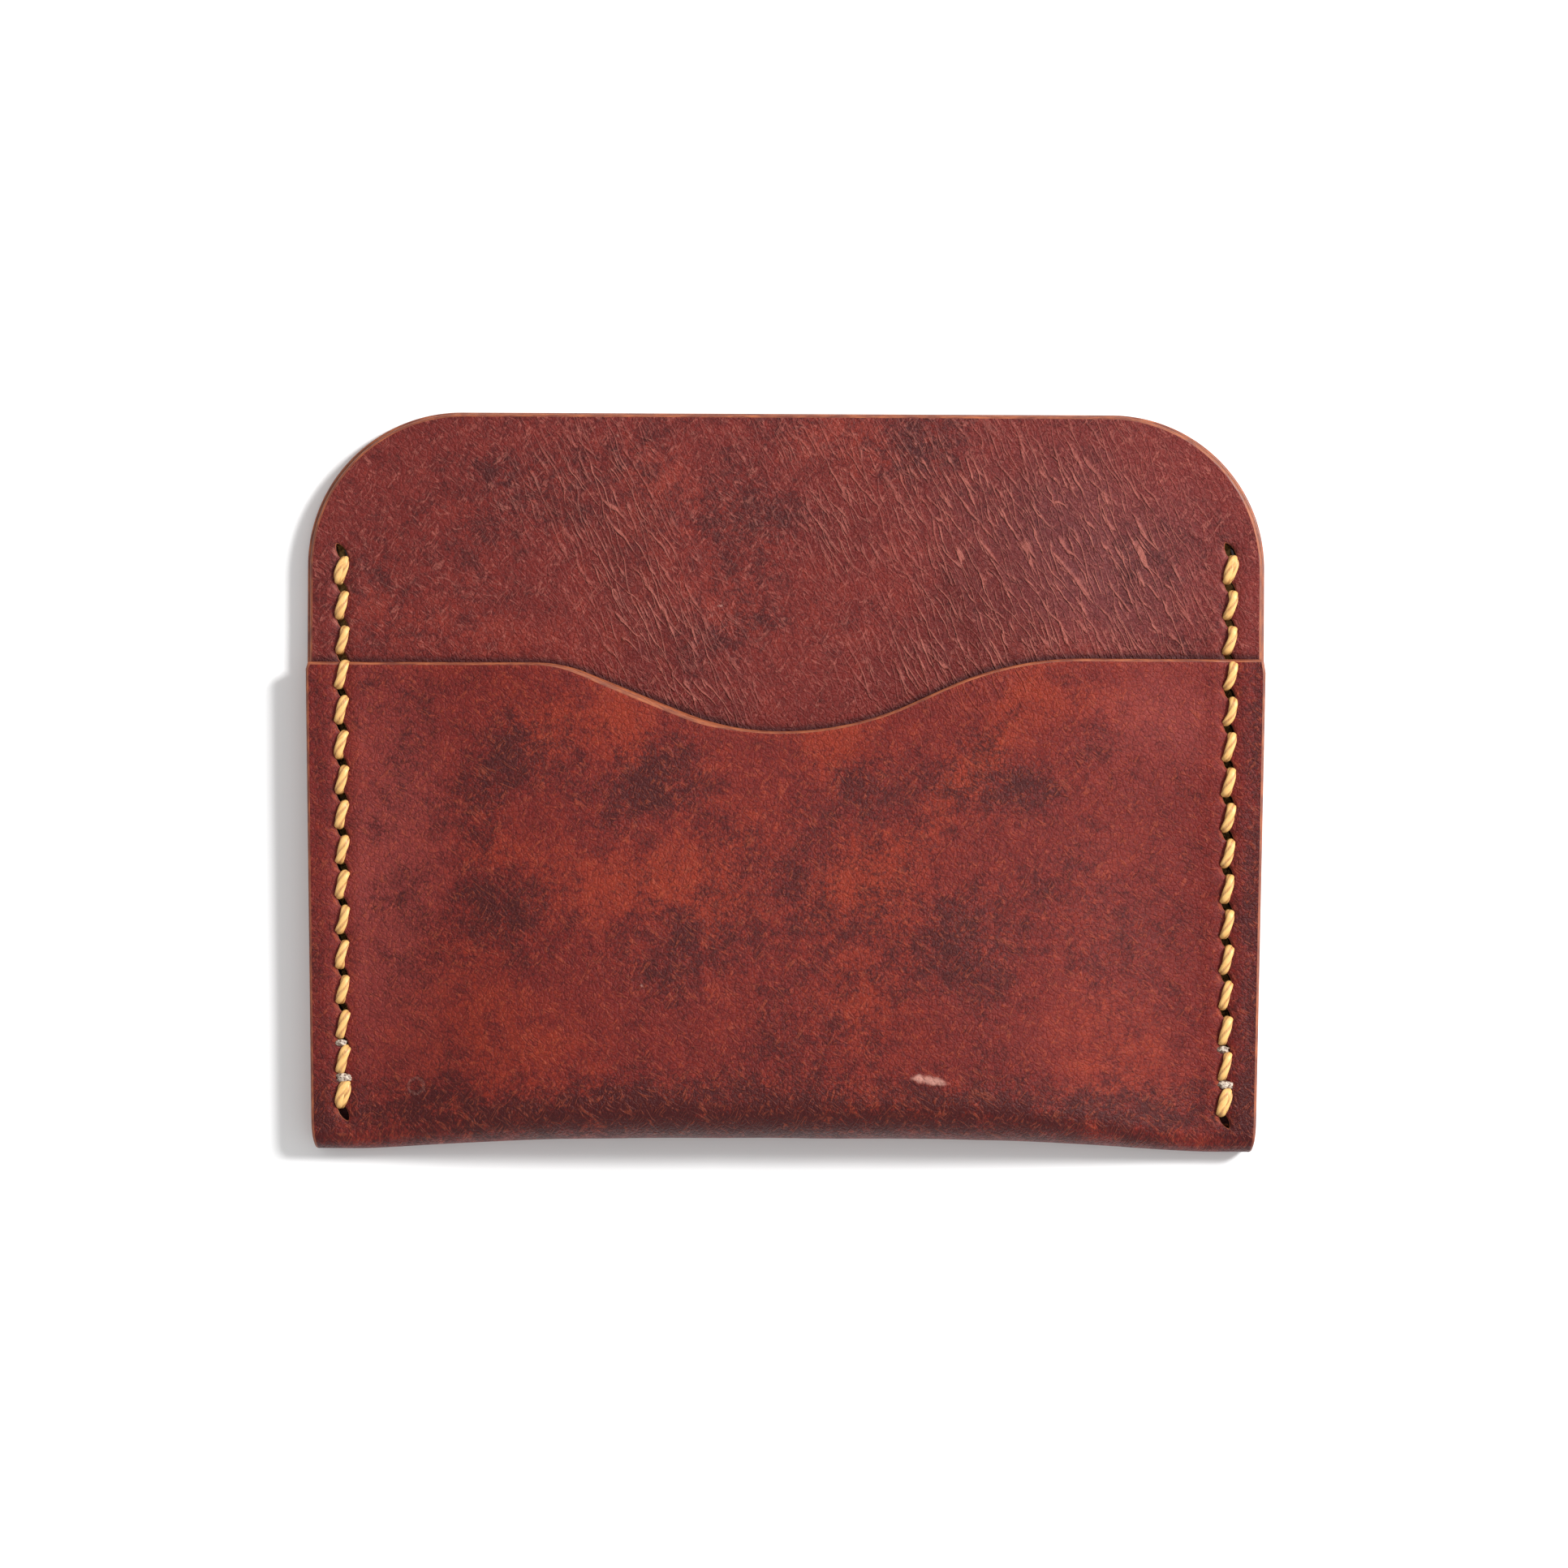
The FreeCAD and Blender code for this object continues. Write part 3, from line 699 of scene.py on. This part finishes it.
# -------- materials
def srgb(red, green, blue):
    """Linear colour, with alpha, of a colour given as screen values from 0 to 255."""
    made = []
    for value in (red, green, blue):
        share = value / 255
        made.append(share / 12.92 if share <= 0.04045 else ((share + 0.055) / 1.055) ** 2.4)
    return (*made, 1.0)


class Shader:
    """Small helper that adds nodes and links to one material."""

    def __init__(self, name):
        self.material = bpy.data.materials.new(name)
        self.material.use_nodes = True
        self.tree = self.material.node_tree

    def feed(self, socket, value):
        if isinstance(value, bpy.types.NodeSocket):
            self.tree.links.new(value, socket)
        else:
            socket.default_value = value

    def add(self, kind, inputs=None, **settings):
        node = self.tree.nodes.new(kind)
        for key, value in settings.items():
            setattr(node, key, value)
        for key, value in (inputs or {}).items():
            self.feed(node.inputs[key], value)
        return node

    def cover(self, inputs):
        """Feeds the surface and returns the finished material."""
        for key, value in inputs.items():
            self.feed(self.tree.nodes["Principled BSDF"].inputs[key], value)
        return self.material

    def mask(self, name):
        return self.add("ShaderNodeAttribute", attribute_name=name).outputs["Fac"]

    def pattern(self, scale=(1.0, 1.0, 1.0)):
        source = self.add("ShaderNodeAttribute", attribute_name="pattern").outputs["Vector"]
        inputs = {"Vector": source, "Scale": scale}
        return self.add("ShaderNodeMapping", inputs).outputs["Vector"]

    def turned_pattern(self, turn, stretch, shift):
        """The pattern turned by some degrees, then drawn out along its x and moved."""
        source = self.add("ShaderNodeAttribute", attribute_name="pattern").outputs["Vector"]
        inputs = {"Vector": source, "Rotation": (0.0, 0.0, math.radians(-turn))}
        turned = self.add("ShaderNodeMapping", inputs).outputs["Vector"]
        inputs = {"Vector": turned, "Scale": (stretch, 1.0, 1.0), "Location": shift}
        return self.add("ShaderNodeMapping", inputs).outputs["Vector"]

    def noise(self, vector, scale, detail=4.0, roughness=0.55, distortion=0.0):
        inputs = {"Vector": vector, "Scale": scale, "Detail": detail}
        inputs.update({"Roughness": roughness, "Distortion": distortion})
        return self.add("ShaderNodeTexNoise", inputs).outputs["Fac"]

    def cells(self, vector, scale):
        inputs = {"Vector": vector, "Scale": scale}
        node = self.add("ShaderNodeTexVoronoi", inputs, feature="DISTANCE_TO_EDGE")
        return node.outputs["Distance"]

    def math(self, operation, first, second=0.5, clamp=False):
        inputs = {0: first, 1: second}
        node = self.add("ShaderNodeMath", inputs, operation=operation, use_clamp=clamp)
        return node.outputs[0]

    def span(self, value, low, high, to_low=0.0, to_high=1.0):
        """The value's way from low to high, smoothed, as a way from to_low to to_high."""
        inputs = {"Value": value, "From Min": low, "From Max": high}
        inputs.update({"To Min": to_low, "To Max": to_high})
        node = self.add("ShaderNodeMapRange", inputs, interpolation_type="SMOOTHSTEP")
        return node.outputs["Result"]

    def mix(self, share, first, second):
        inputs = {"Factor": share, "A": first, "B": second}
        return self.add("ShaderNodeMix", inputs, data_type="RGBA").outputs["Result"]

    def streaks(self, turn, stretch, size, seed, width, distortion):
        """Thin wavy lines along a direction of the pattern, given in degrees."""
        place = self.turned_pattern(turn, stretch, (seed * 7.3, seed * 3.1, seed))
        field = self.noise(place, size, 1.5, 0.5, distortion)
        off = self.math("ABSOLUTE", self.math("SUBTRACT", field))
        return self.span(off, 0.0, width, 1.0, 0.0)

    def ridges(self, turn, spacing, seed):
        """Broken, wavy, nearly parallel ridges along a direction of the pattern."""
        place = self.turned_pattern(turn, 0.33, (seed * 5.1, seed * 3.7, seed))
        scale = 2 * math.pi / 20 / spacing
        inputs = {"Vector": place, "Scale": scale, "Distortion": 9.0, "Detail": 2.0}
        inputs.update({"Detail Scale": 0.45 / scale, "Detail Roughness": 0.5})
        wave = self.add("ShaderNodeTexWave", inputs, bands_direction="Y")
        broken = self.noise(place, 0.75, 3.0, 0.6)
        lines = self.span(wave.outputs["Fac"], 0.80, 1.0)
        return self.math("MULTIPLY", lines, self.span(broken, 0.44, 0.60))

    def crinkles(self):
        """Raised crinkles of flexed leather, where the crease mask allows them."""
        lines = self.ridges(-64, 0.95, 1)
        for turn, spacing, seed, height in ((-52, 1.15, 2, 0.8), (-74, 0.7, 3, 0.6)):
            more = self.math("MULTIPLY", self.ridges(turn, spacing, seed), height)
            lines = self.math("MAXIMUM", lines, more)
        return self.math("MULTIPLY", lines, self.span(self.mask("crease"), 0.0, 0.75), True)

    def fibres(self):
        """Short pale fibres of the nap, in two directions, in drifting patches."""
        first = self.streaks(55, 0.24, 1.7, 4, 0.05, 0.4)
        second = self.streaks(-35, 0.24, 1.6, 5, 0.05, 0.4)
        where = self.noise(self.pattern(), 0.8, 4.0, 0.6)
        first = self.math("MULTIPLY", first, self.span(where, 0.46, 0.62))
        second = self.math("MULTIPLY", second, self.span(where, 0.54, 0.38))
        return self.math("MAXIMUM", first, second)

    def bump(self, height, distance, below=None):
        """Normal of a surface raised by up to a distance in millimetres."""
        inputs = {"Height": height, "Distance": distance * MM, "Strength": 1.0}
        if below is not None:
            inputs["Normal"] = below
        return self.add("ShaderNodeBump", inputs).outputs["Normal"]


# The pale colour serves the nap's fibres and the painted highlight on crinkle ridges and slit lips;
# the plum colour is wax bloom with painted sheen.
SHELL_DYE = {
    "base": srgb(103, 22, 17), "dark": srgb(50, 4, 6), "warm": srgb(134, 40, 18),
    "plum_bloom_and_sheen": srgb(136, 56, 52), "pale_fibre_and_highlight": srgb(168, 76, 46),
}
DIVIDER_DYE = {
    "base": srgb(103, 26, 21), "dark": srgb(50, 8, 10), "warm": srgb(130, 42, 28),
    "plum_bloom_and_sheen": srgb(118, 62, 64), "pale_fibre_and_highlight": srgb(180, 104, 90),
}
SCUFF = srgb(205, 150, 135)


def grain_material(name, dye):
    """Waxed pull-up leather: marbled colour, crinkles, pores and short fibres."""
    look = Shader(name)
    place = look.pattern()
    mottle = look.noise(place, 0.55, 7.0, 0.74)
    speckle = look.noise(place, 2.6, 5.0, 0.75)
    grain = look.cells(place, 1.7)
    fine_grain = look.cells(place, 3.6)
    creases = look.crinkles()
    fibres = look.fibres()
    drift = look.math("SUBTRACT", mottle)
    fleck = look.math("SUBTRACT", speckle)
    darkness = look.math("ADD", look.mask("dark"), look.math("MULTIPLY", drift, 3.0))
    darkness = look.math("ADD", darkness, look.math("MULTIPLY", fleck, 3.2))
    warmth = look.math("ADD", look.mask("warm"), look.math("MULTIPLY", drift, -2.8))
    warmth = look.math("ADD", warmth, look.math("MULTIPLY", fleck, -2.2))
    colour = dye["base"]
    for share, over in (
        (look.span(warmth, 0.0, 1.2, 0.0, 0.9), dye["warm"]),
        # Wax bloom with painted sheen over it.
        (look.span(look.mask("bloom"), 0.0, 1.1, 0.0, 0.6), dye["plum_bloom_and_sheen"]),
        (look.span(darkness, 0.0, 1.2, 0.0, 0.85), dye["dark"]),
        (look.math("MULTIPLY", fibres, 0.34), dye["pale_fibre_and_highlight"]),
        (look.span(grain, 0.0, 0.10, 0.30, 0.0), dye["dark"]),
        (look.span(look.mask("crease"), 0.1, 1.0, 0.0, 0.3), dye["dark"]),
        # Painted highlight on the crinkle ridges.
        (look.math("MULTIPLY", creases, 0.56, True), dye["pale_fibre_and_highlight"]),
        # Painted highlight on the lips of the slits.
        (look.span(look.mask("lip"), 0.2, 1.0, 0.0, 0.55), dye["pale_fibre_and_highlight"]),
        (look.span(look.mask("shade"), 0.1, 1.0, 0.0, 0.8), dye["dark"]),
        (look.span(look.mask("mark"), 0.25, 0.9, 0.0, 0.6), SCUFF),
    ):
        colour = look.mix(share, colour, over)
    rough = look.span(mottle, 0.3, 0.7, 0.44, 0.56)
    rough = look.math("ADD", rough, look.span(speckle, 0.3, 0.7, -0.05, 0.07))
    rough = look.math("SUBTRACT", rough, look.span(look.mask("dark"), 0.2, 1.2, 0.0, 0.08))
    normal = look.bump(look.span(grain, 0.0, 0.22), 0.035)
    for height, distance in (
        (look.span(fine_grain, 0.0, 0.25), 0.016), (speckle, 0.09), (fibres, 0.03), (creases, 0.22),
    ):
        normal = look.bump(height, distance, normal)
    return look.cover({
        "Base Color": colour, "Roughness": rough, "Normal": normal,
        "Specular IOR Level": 0.22, "Coat Weight": 0.03, "Coat Roughness": 0.30,
    })


def edge_material():
    """Cut edge, rubbed with wax: compressed fibres in thin layers, blotched with darker dye."""
    look = Shader("waxed_cut_edge")
    layers = look.noise(look.pattern((0.35, 0.35, 7.0)), 1.3, 5.0, 0.7)
    blotches = look.noise(look.pattern(), 0.5, 3.0)
    colour = look.mix(look.span(layers, 0.3, 0.7), srgb(96, 38, 24), srgb(166, 90, 50))
    colour = look.mix(look.span(blotches, 0.4, 0.7, 0.0, 0.6), colour, srgb(96, 40, 28))
    rough = look.span(layers, 0.3, 0.7, 0.42, 0.62)
    return look.cover(
        {"Base Color": colour, "Roughness": rough, "Normal": look.bump(layers, 0.05)}
    )


def flesh_material():
    """The suede-like inner side of the hide."""
    look = Shader("leather_flesh_side")
    nap = look.noise(look.pattern(), 3.5, 6.0, 0.75)
    clouds = look.noise(look.pattern(), 0.25, 4.0)
    fibres = look.noise(look.pattern((1.0, 0.3, 1.0)), 5.0, 3.0, 0.6, 1.2)
    colour = look.mix(look.span(nap, 0.3, 0.7), srgb(118, 66, 42), srgb(160, 100, 66))
    colour = look.mix(look.span(clouds, 0.35, 0.7, 0.0, 0.5), colour, srgb(96, 48, 34))
    return look.cover({
        "Base Color": colour, "Roughness": look.span(nap, 0.3, 0.7, 0.82, 0.95),
        "Normal": look.bump(fibres, 0.10, look.bump(nap, 0.08)),
        "Sheen Weight": 0.25, "Sheen Roughness": 0.6,
    })


def slit_material():
    """Inner walls of the slits, near black: painted shade deep in the holes."""
    look = Shader("slit_wall")
    nap = look.noise(look.pattern(), 4.0, 4.0, 0.7)
    colour = look.mix(nap, srgb(30, 14, 12), srgb(62, 28, 22))
    return look.cover({"Base Color": colour, "Roughness": look.span(nap, 0.3, 0.7, 0.7, 0.9)})


def thread_material():
    """Waxed polyester thread: pale gold plies with painted shade in the furrows between them and
    painted highlight in streaks along the strands.
    """
    look = Shader("waxed_thread_gold")
    strands = look.noise(look.pattern((1.0, 0.16, 1.0)), 9.0, 3.0, 0.6)
    wax = look.noise(look.pattern(), 1.1, 4.0)
    ply = look.span(look.mask("ply"), 0.05, 0.75)
    # Painted shade in the furrows between the plies.
    colour = look.mix(ply, srgb(150, 88, 38), srgb(224, 172, 98))
    # Painted highlight in streaks along the strands.
    colour = look.mix(look.span(strands, 0.35, 0.75, 0.0, 0.5), colour, srgb(248, 208, 142))
    colour = look.mix(look.span(wax, 0.52, 0.75, 0.0, 0.45), colour, srgb(196, 126, 54))
    return look.cover({
        "Base Color": colour, "Roughness": look.span(wax, 0.3, 0.7, 0.38, 0.56),
        "Normal": look.bump(strands, 0.04), "Coat Weight": 0.15, "Coat Roughness": 0.35,
    })


def melted_material():
    """Singed thread end: a greyish bead with pale specks."""
    look = Shader("melted_thread_end")
    specks = look.noise(look.pattern(), 3.4, 5.0, 0.7)
    colour = look.mix(look.span(specks, 0.42, 0.6), srgb(96, 70, 58), srgb(214, 198, 180))
    rough = look.span(specks, 0.3, 0.7, 0.35, 0.6)
    return look.cover(
        {"Base Color": colour, "Roughness": rough, "Normal": look.bump(specks, 0.08)}
    )


# -------- thread
THREAD_SLOT, BEAD_SLOT = range(2)   # the order of a thread's materials


def smooth_route(points, step):
    """Even samples along a Catmull-Rom curve through the points."""
    points = np.array(points)
    padded = np.concatenate([[2 * points[0] - points[1]], points, [2 * points[-1] - points[-2]]])
    made = []
    for a, b, c, d in zip(padded, padded[1:], padded[2:], padded[3:]):
        count = max(2, int(math.ceil(np.linalg.norm(c - b) / step)))
        t = (np.arange(count) / count)[:, None]
        square = (2 * a - 5 * b + 4 * c - d) * t**2
        cube = (3 * b - a - 3 * c + d) * t**3
        made.append(0.5 * (2 * b + (c - a) * t + square + cube))
    made.append(points[-1:])
    return np.concatenate(made)


def thread_tube(route, width, height, seed):
    """Oval tube along the route with three twisted plies; returns vertices, faces, pattern, ply."""
    tangent = np.gradient(route, axis=0)
    tangent /= np.linalg.norm(tangent, axis=1)[:, None]
    across = np.array([1.0, 0, 0]) - tangent * tangent[:, :1]
    across /= np.linalg.norm(across, axis=1)[:, None]
    up = np.cross(tangent, across)
    length = np.concatenate([[0], np.cumsum(np.linalg.norm(np.diff(route, axis=0), axis=1))])
    wobble = 1 + 0.10 * (lattice_noise(length, length * 0, 1.6, seed) - 0.5) * 2
    angle = np.arange(THREAD_SIDES) * 2 * math.pi / THREAD_SIDES
    twist = length * 2 * math.pi / TWIST_LENGTH
    turned = angle[None, :] - twist[:, None]
    lobes = np.abs(np.cos(1.5 * turned))
    scale = (0.86 + 0.17 * lobes**0.7) * wobble[:, None]
    side = (np.cos(angle)[None, :] * width / 2 * scale)[:, :, None]
    rise = (np.sin(angle)[None, :] * height / 2 * scale)[:, :, None]
    rings = route[:, None, :] + across[:, None, :] * side + up[:, None, :] * rise
    start = np.arange(len(route) - 1)[:, None] * THREAD_SIDES
    first = start + np.arange(THREAD_SIDES)[None, :]
    after = start + (np.arange(THREAD_SIDES)[None, :] + 1) % THREAD_SIDES
    corners = [first, after, after + THREAD_SIDES, first + THREAD_SIDES]
    quads = np.stack(corners, axis=2).reshape(-1, 4)[:, ::-1]
    run = np.repeat(length[:, None], THREAD_SIDES, axis=1)
    pattern = np.stack([turned, run, scale], axis=2)
    return rings.reshape(-1, 3), quads, pattern.reshape(-1, 3), lobes.ravel()


def front_level(stitch, point):
    """Height of the leather's face under a stitch."""
    dent = seam_dent(np.array([point[0]]), np.array([point[1]]))[0]
    return (DIVIDER_TOP_Z if stitch < STITCHES_ABOVE_MOUTH else FRONT_TOP_Z) + dent


def stitch_points(seam, stitch, on_front, height, shift, rng):
    """The way of one stitch from slit to slit: out of the leather, over it and in again."""
    slant = math.radians(SLIT_SLANT)
    step = np.array([-math.sin(slant), math.cos(slant)]) * STRAND_OFFSET
    start = seam_point(seam, stitch) - (step if on_front else -step)
    end = seam_point(seam, stitch + 1) + (step if on_front else -step)
    bow = 0.10 * rng.normal()
    bow += 0.16 if (on_front and seam["side"] > 0) else 0.0
    points = []
    for share, lift in STITCH_PATH:
        flat = start + (end - start) * share
        flat = flat + np.array([(shift + bow) * math.sin(math.pi * share), 0.0])
        if on_front:
            z = front_level(stitch, flat) + height / 2 * lift * (1.0 if lift > 0 else 1.8)
        else:
            z = BACK_THREAD_Z - 0.3 * max(lift, 0) + 0.35 * max(-lift, 0)
        points.append((flat[0], flat[1], z))
    return points


def seam_thread(name, seam):
    """Both needles' strands, the doubled end stitches and the singed ends of one seam."""
    rng = np.random.default_rng(seam["seed"])
    ends = (0, STITCHES - 1)
    parts = []
    for parity in (0, 1):
        route = []
        for stitch in range(STITCHES):
            on_front = stitch % 2 == parity
            shift = -0.26 if on_front and stitch in ends else 0.0
            route += stitch_points(seam, stitch, on_front, THREAD_HEIGHT, shift, rng)
        route = smooth_route(route, THREAD_STEP)
        parts.append(thread_tube(route, THREAD_WIDTH, THREAD_HEIGHT, seam["seed"] + parity))
    for stitch in ends:
        route = stitch_points(seam, stitch, True, THREAD_HEIGHT * 0.92, 0.34, rng)
        route = smooth_route(route, THREAD_STEP)
        parts.append(
            thread_tube(route, THREAD_WIDTH * 0.8, THREAD_HEIGHT * 0.9, seam["seed"] + 5)
        )
    tubes = len(parts)
    for hole, size, aside in ((STITCHES - 1, 0.80, 0.1), (STITCHES - 2, 0.62, -0.2)):
        parts.append(singed_bead(seam, hole, size, aside, rng))
    faces = []
    slots = []
    count = 0
    for index, (points, quads, _, _) in enumerate(parts):
        faces.append(quads + count)
        slots.append(np.full(len(quads), THREAD_SLOT if index < tubes else BEAD_SLOT))
        count += len(points)
    points, _, patterns, plies = zip(*parts)
    masks = {"ply": np.concatenate(plies)}
    return add_piece(
        name + "_sewn", np.concatenate(points), np.concatenate(faces), np.concatenate(slots),
        np.concatenate(patterns), masks,
    )


def singed_bead(seam, hole, size, aside, rng):
    """Irregular flattened bead where a thread end was melted; returns the same as thread_tube."""
    centre = seam_point(seam, hole) + np.array([aside, -0.1])
    level = front_level(hole, centre)
    rings = 7
    sides = 12
    points = []
    for ring in range(rings + 1):
        tilt = math.pi * ring / rings
        for side in range(sides):
            turn = 2 * math.pi * side / sides
            rough = 1 + 0.16 * rng.normal()
            x = centre[0] + size * 1.1 * math.sin(tilt) * math.cos(turn) * rough
            y = centre[1] + size * 0.62 * math.sin(tilt) * math.sin(turn) * rough
            points.append((x, y, level + 0.12 + size * 0.5 * math.cos(tilt)))
    faces = []
    for ring in range(rings):
        for side in range(sides):
            after = (side + 1) % sides
            faces.append([ring * sides + side, (ring + 1) * sides + side,
                          (ring + 1) * sides + after, ring * sides + after])
    points = np.array(points)
    return points, np.array(faces), points, np.ones(len(points))


# -------- the object
def build_leather():
    """Both leather pieces with their materials, on the frame."""
    shell_grain = grain_material("shell_grain", SHELL_DYE)
    divider_grain = grain_material("divider_grain", DIVIDER_DYE)
    edge = edge_material()
    flesh = flesh_material()
    slit = slit_material()

    def front_s(y):
        return y - FOLD_LINE_Y

    def back_s(y):
        return FOLD_LINE_Y - y

    shell_slits = []
    divider_slits = []
    for seam in SEAMS.values():
        seam_x = seam_point(seam, STITCHES_ABOVE_MOUTH)[0]
        highest_s = mouth_y(np.array([seam_x]))[0] - FOLD_LINE_Y - 0.6
        in_front = slit_loops(seam, front_s, False)
        shell_slits += [loop for loop in in_front if loop[:, 1].max() < highest_s]
        shell_slits += slit_loops(seam, back_s, True)
        in_divider = slit_loops(seam, lambda y: y, False)
        divider_slits += [loop for loop in in_divider if loop[:, 1].min() > LOWEST_DIVIDER_SLIT]
    end_s = TOP_Y - FOLD_LINE_Y
    shell_loop = shell_outline()
    divider_loop = divider_outline()
    thumbed = np.exp(-(((shell_loop[:, 0] + 15.0) / 9.0) ** 4)) * (shell_loop[:, 1] > 0)
    shell = leather_panel(
        "shell_leather_folded",
        shell_loop,
        EDGE_ROUND + THUMBED_ROUND * thumbed,
        shell_slits,
        SHELL_LEATHER,
        shell_place,
        shell_look,
        [(-1.0, end_s, FINE), (-7.0, -1.2, FOLD_STEP), (-end_s, -7.2, BACK_STEP)],
        [(-end_s, end_s, HIDDEN_STEP)],
    )
    divider = leather_panel(
        "divider_leather_panel",
        divider_loop,
        np.full(len(divider_loop), EDGE_ROUND),
        divider_slits,
        DIVIDER_LEATHER,
        divider_place,
        divider_look,
        [(4.5, TOP_Y, FINE * 0.9), (-TOP_Y, 4.2, HIDDEN_STEP)],
        [(-TOP_Y, TOP_Y, HIDDEN_STEP)],
    )
    for piece, grain, node, slot in (
        (shell, shell_grain, "shell", "shell_leather"),
        (divider, divider_grain, "divider", "divider_leather"),
    ):
        for material in (grain, edge, flesh, slit):
            piece.data.materials.append(material)
        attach(piece, "root")
        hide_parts(node)


def build_threads():
    """Both seams' threads, on the frame."""
    thread = thread_material()
    melted = melted_material()
    for name, seam in SEAMS.items():
        piece = seam_thread(name, seam)
        piece.data.materials.append(thread)
        piece.data.materials.append(melted)
        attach(piece, "root")
        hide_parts(name)


# -------- floor, light and camera
def build_floor():
    """Large pale sheet under the holder."""
    mesh = bpy.data.meshes.new("floor")
    half = 1.5
    corners = [(-half, -half, 0), (half, -half, 0), (half, half, 0), (-half, half, 0)]
    mesh.from_pydata(corners, [], [(0, 1, 2, 3)])
    floor = add_object("floor", mesh)
    pale = (0.93, 0.93, 0.93, 1.0)
    surface = {"Base Color": pale, "Roughness": 0.9, "Specular IOR Level": 0.1}
    mesh.materials.append(Shader("pale_floor").cover(surface))


def build_light():
    """White surroundings and one square lamp, the key light, up on the right."""
    world = bpy.data.worlds.new("studio")
    world.use_nodes = True
    background = world.node_tree.nodes["Background"]
    background.inputs["Color"].default_value = (1.0, 1.0, 1.0, 1.0)
    background.inputs["Strength"].default_value = 0.66
    bpy.context.scene.world = world
    data = bpy.data.lights.new("key", "AREA")
    data.shape = "SQUARE"
    data.size = 0.22
    data.energy = 12.5
    lamp = add_object("key", data)
    lamp.location = (0.66, 0.32, 0.60)
    lamp.rotation_euler = (-lamp.location).to_track_quat("-Z", "Y").to_euler()


def build_camera():
    """Looks straight down; the holder is turned a quarter of a degree in the frame."""
    field = 173.0 * MM
    distance = 0.62
    sensor = 36.0
    data = bpy.data.cameras.new("camera")
    data.sensor_width = sensor
    data.lens = sensor * distance / field
    camera = add_object("camera", data)
    camera.location = (-0.13 * MM, -0.27 * MM, distance + FRONT_TOP_Z * MM)
    camera.rotation_euler = (0.0, 0.0, math.radians(0.25))
    bpy.context.scene.camera = camera
    bpy.context.scene.view_settings.view_transform = "Standard"


build_camera()
build_light()
build_floor()
build_leather()
build_threads()
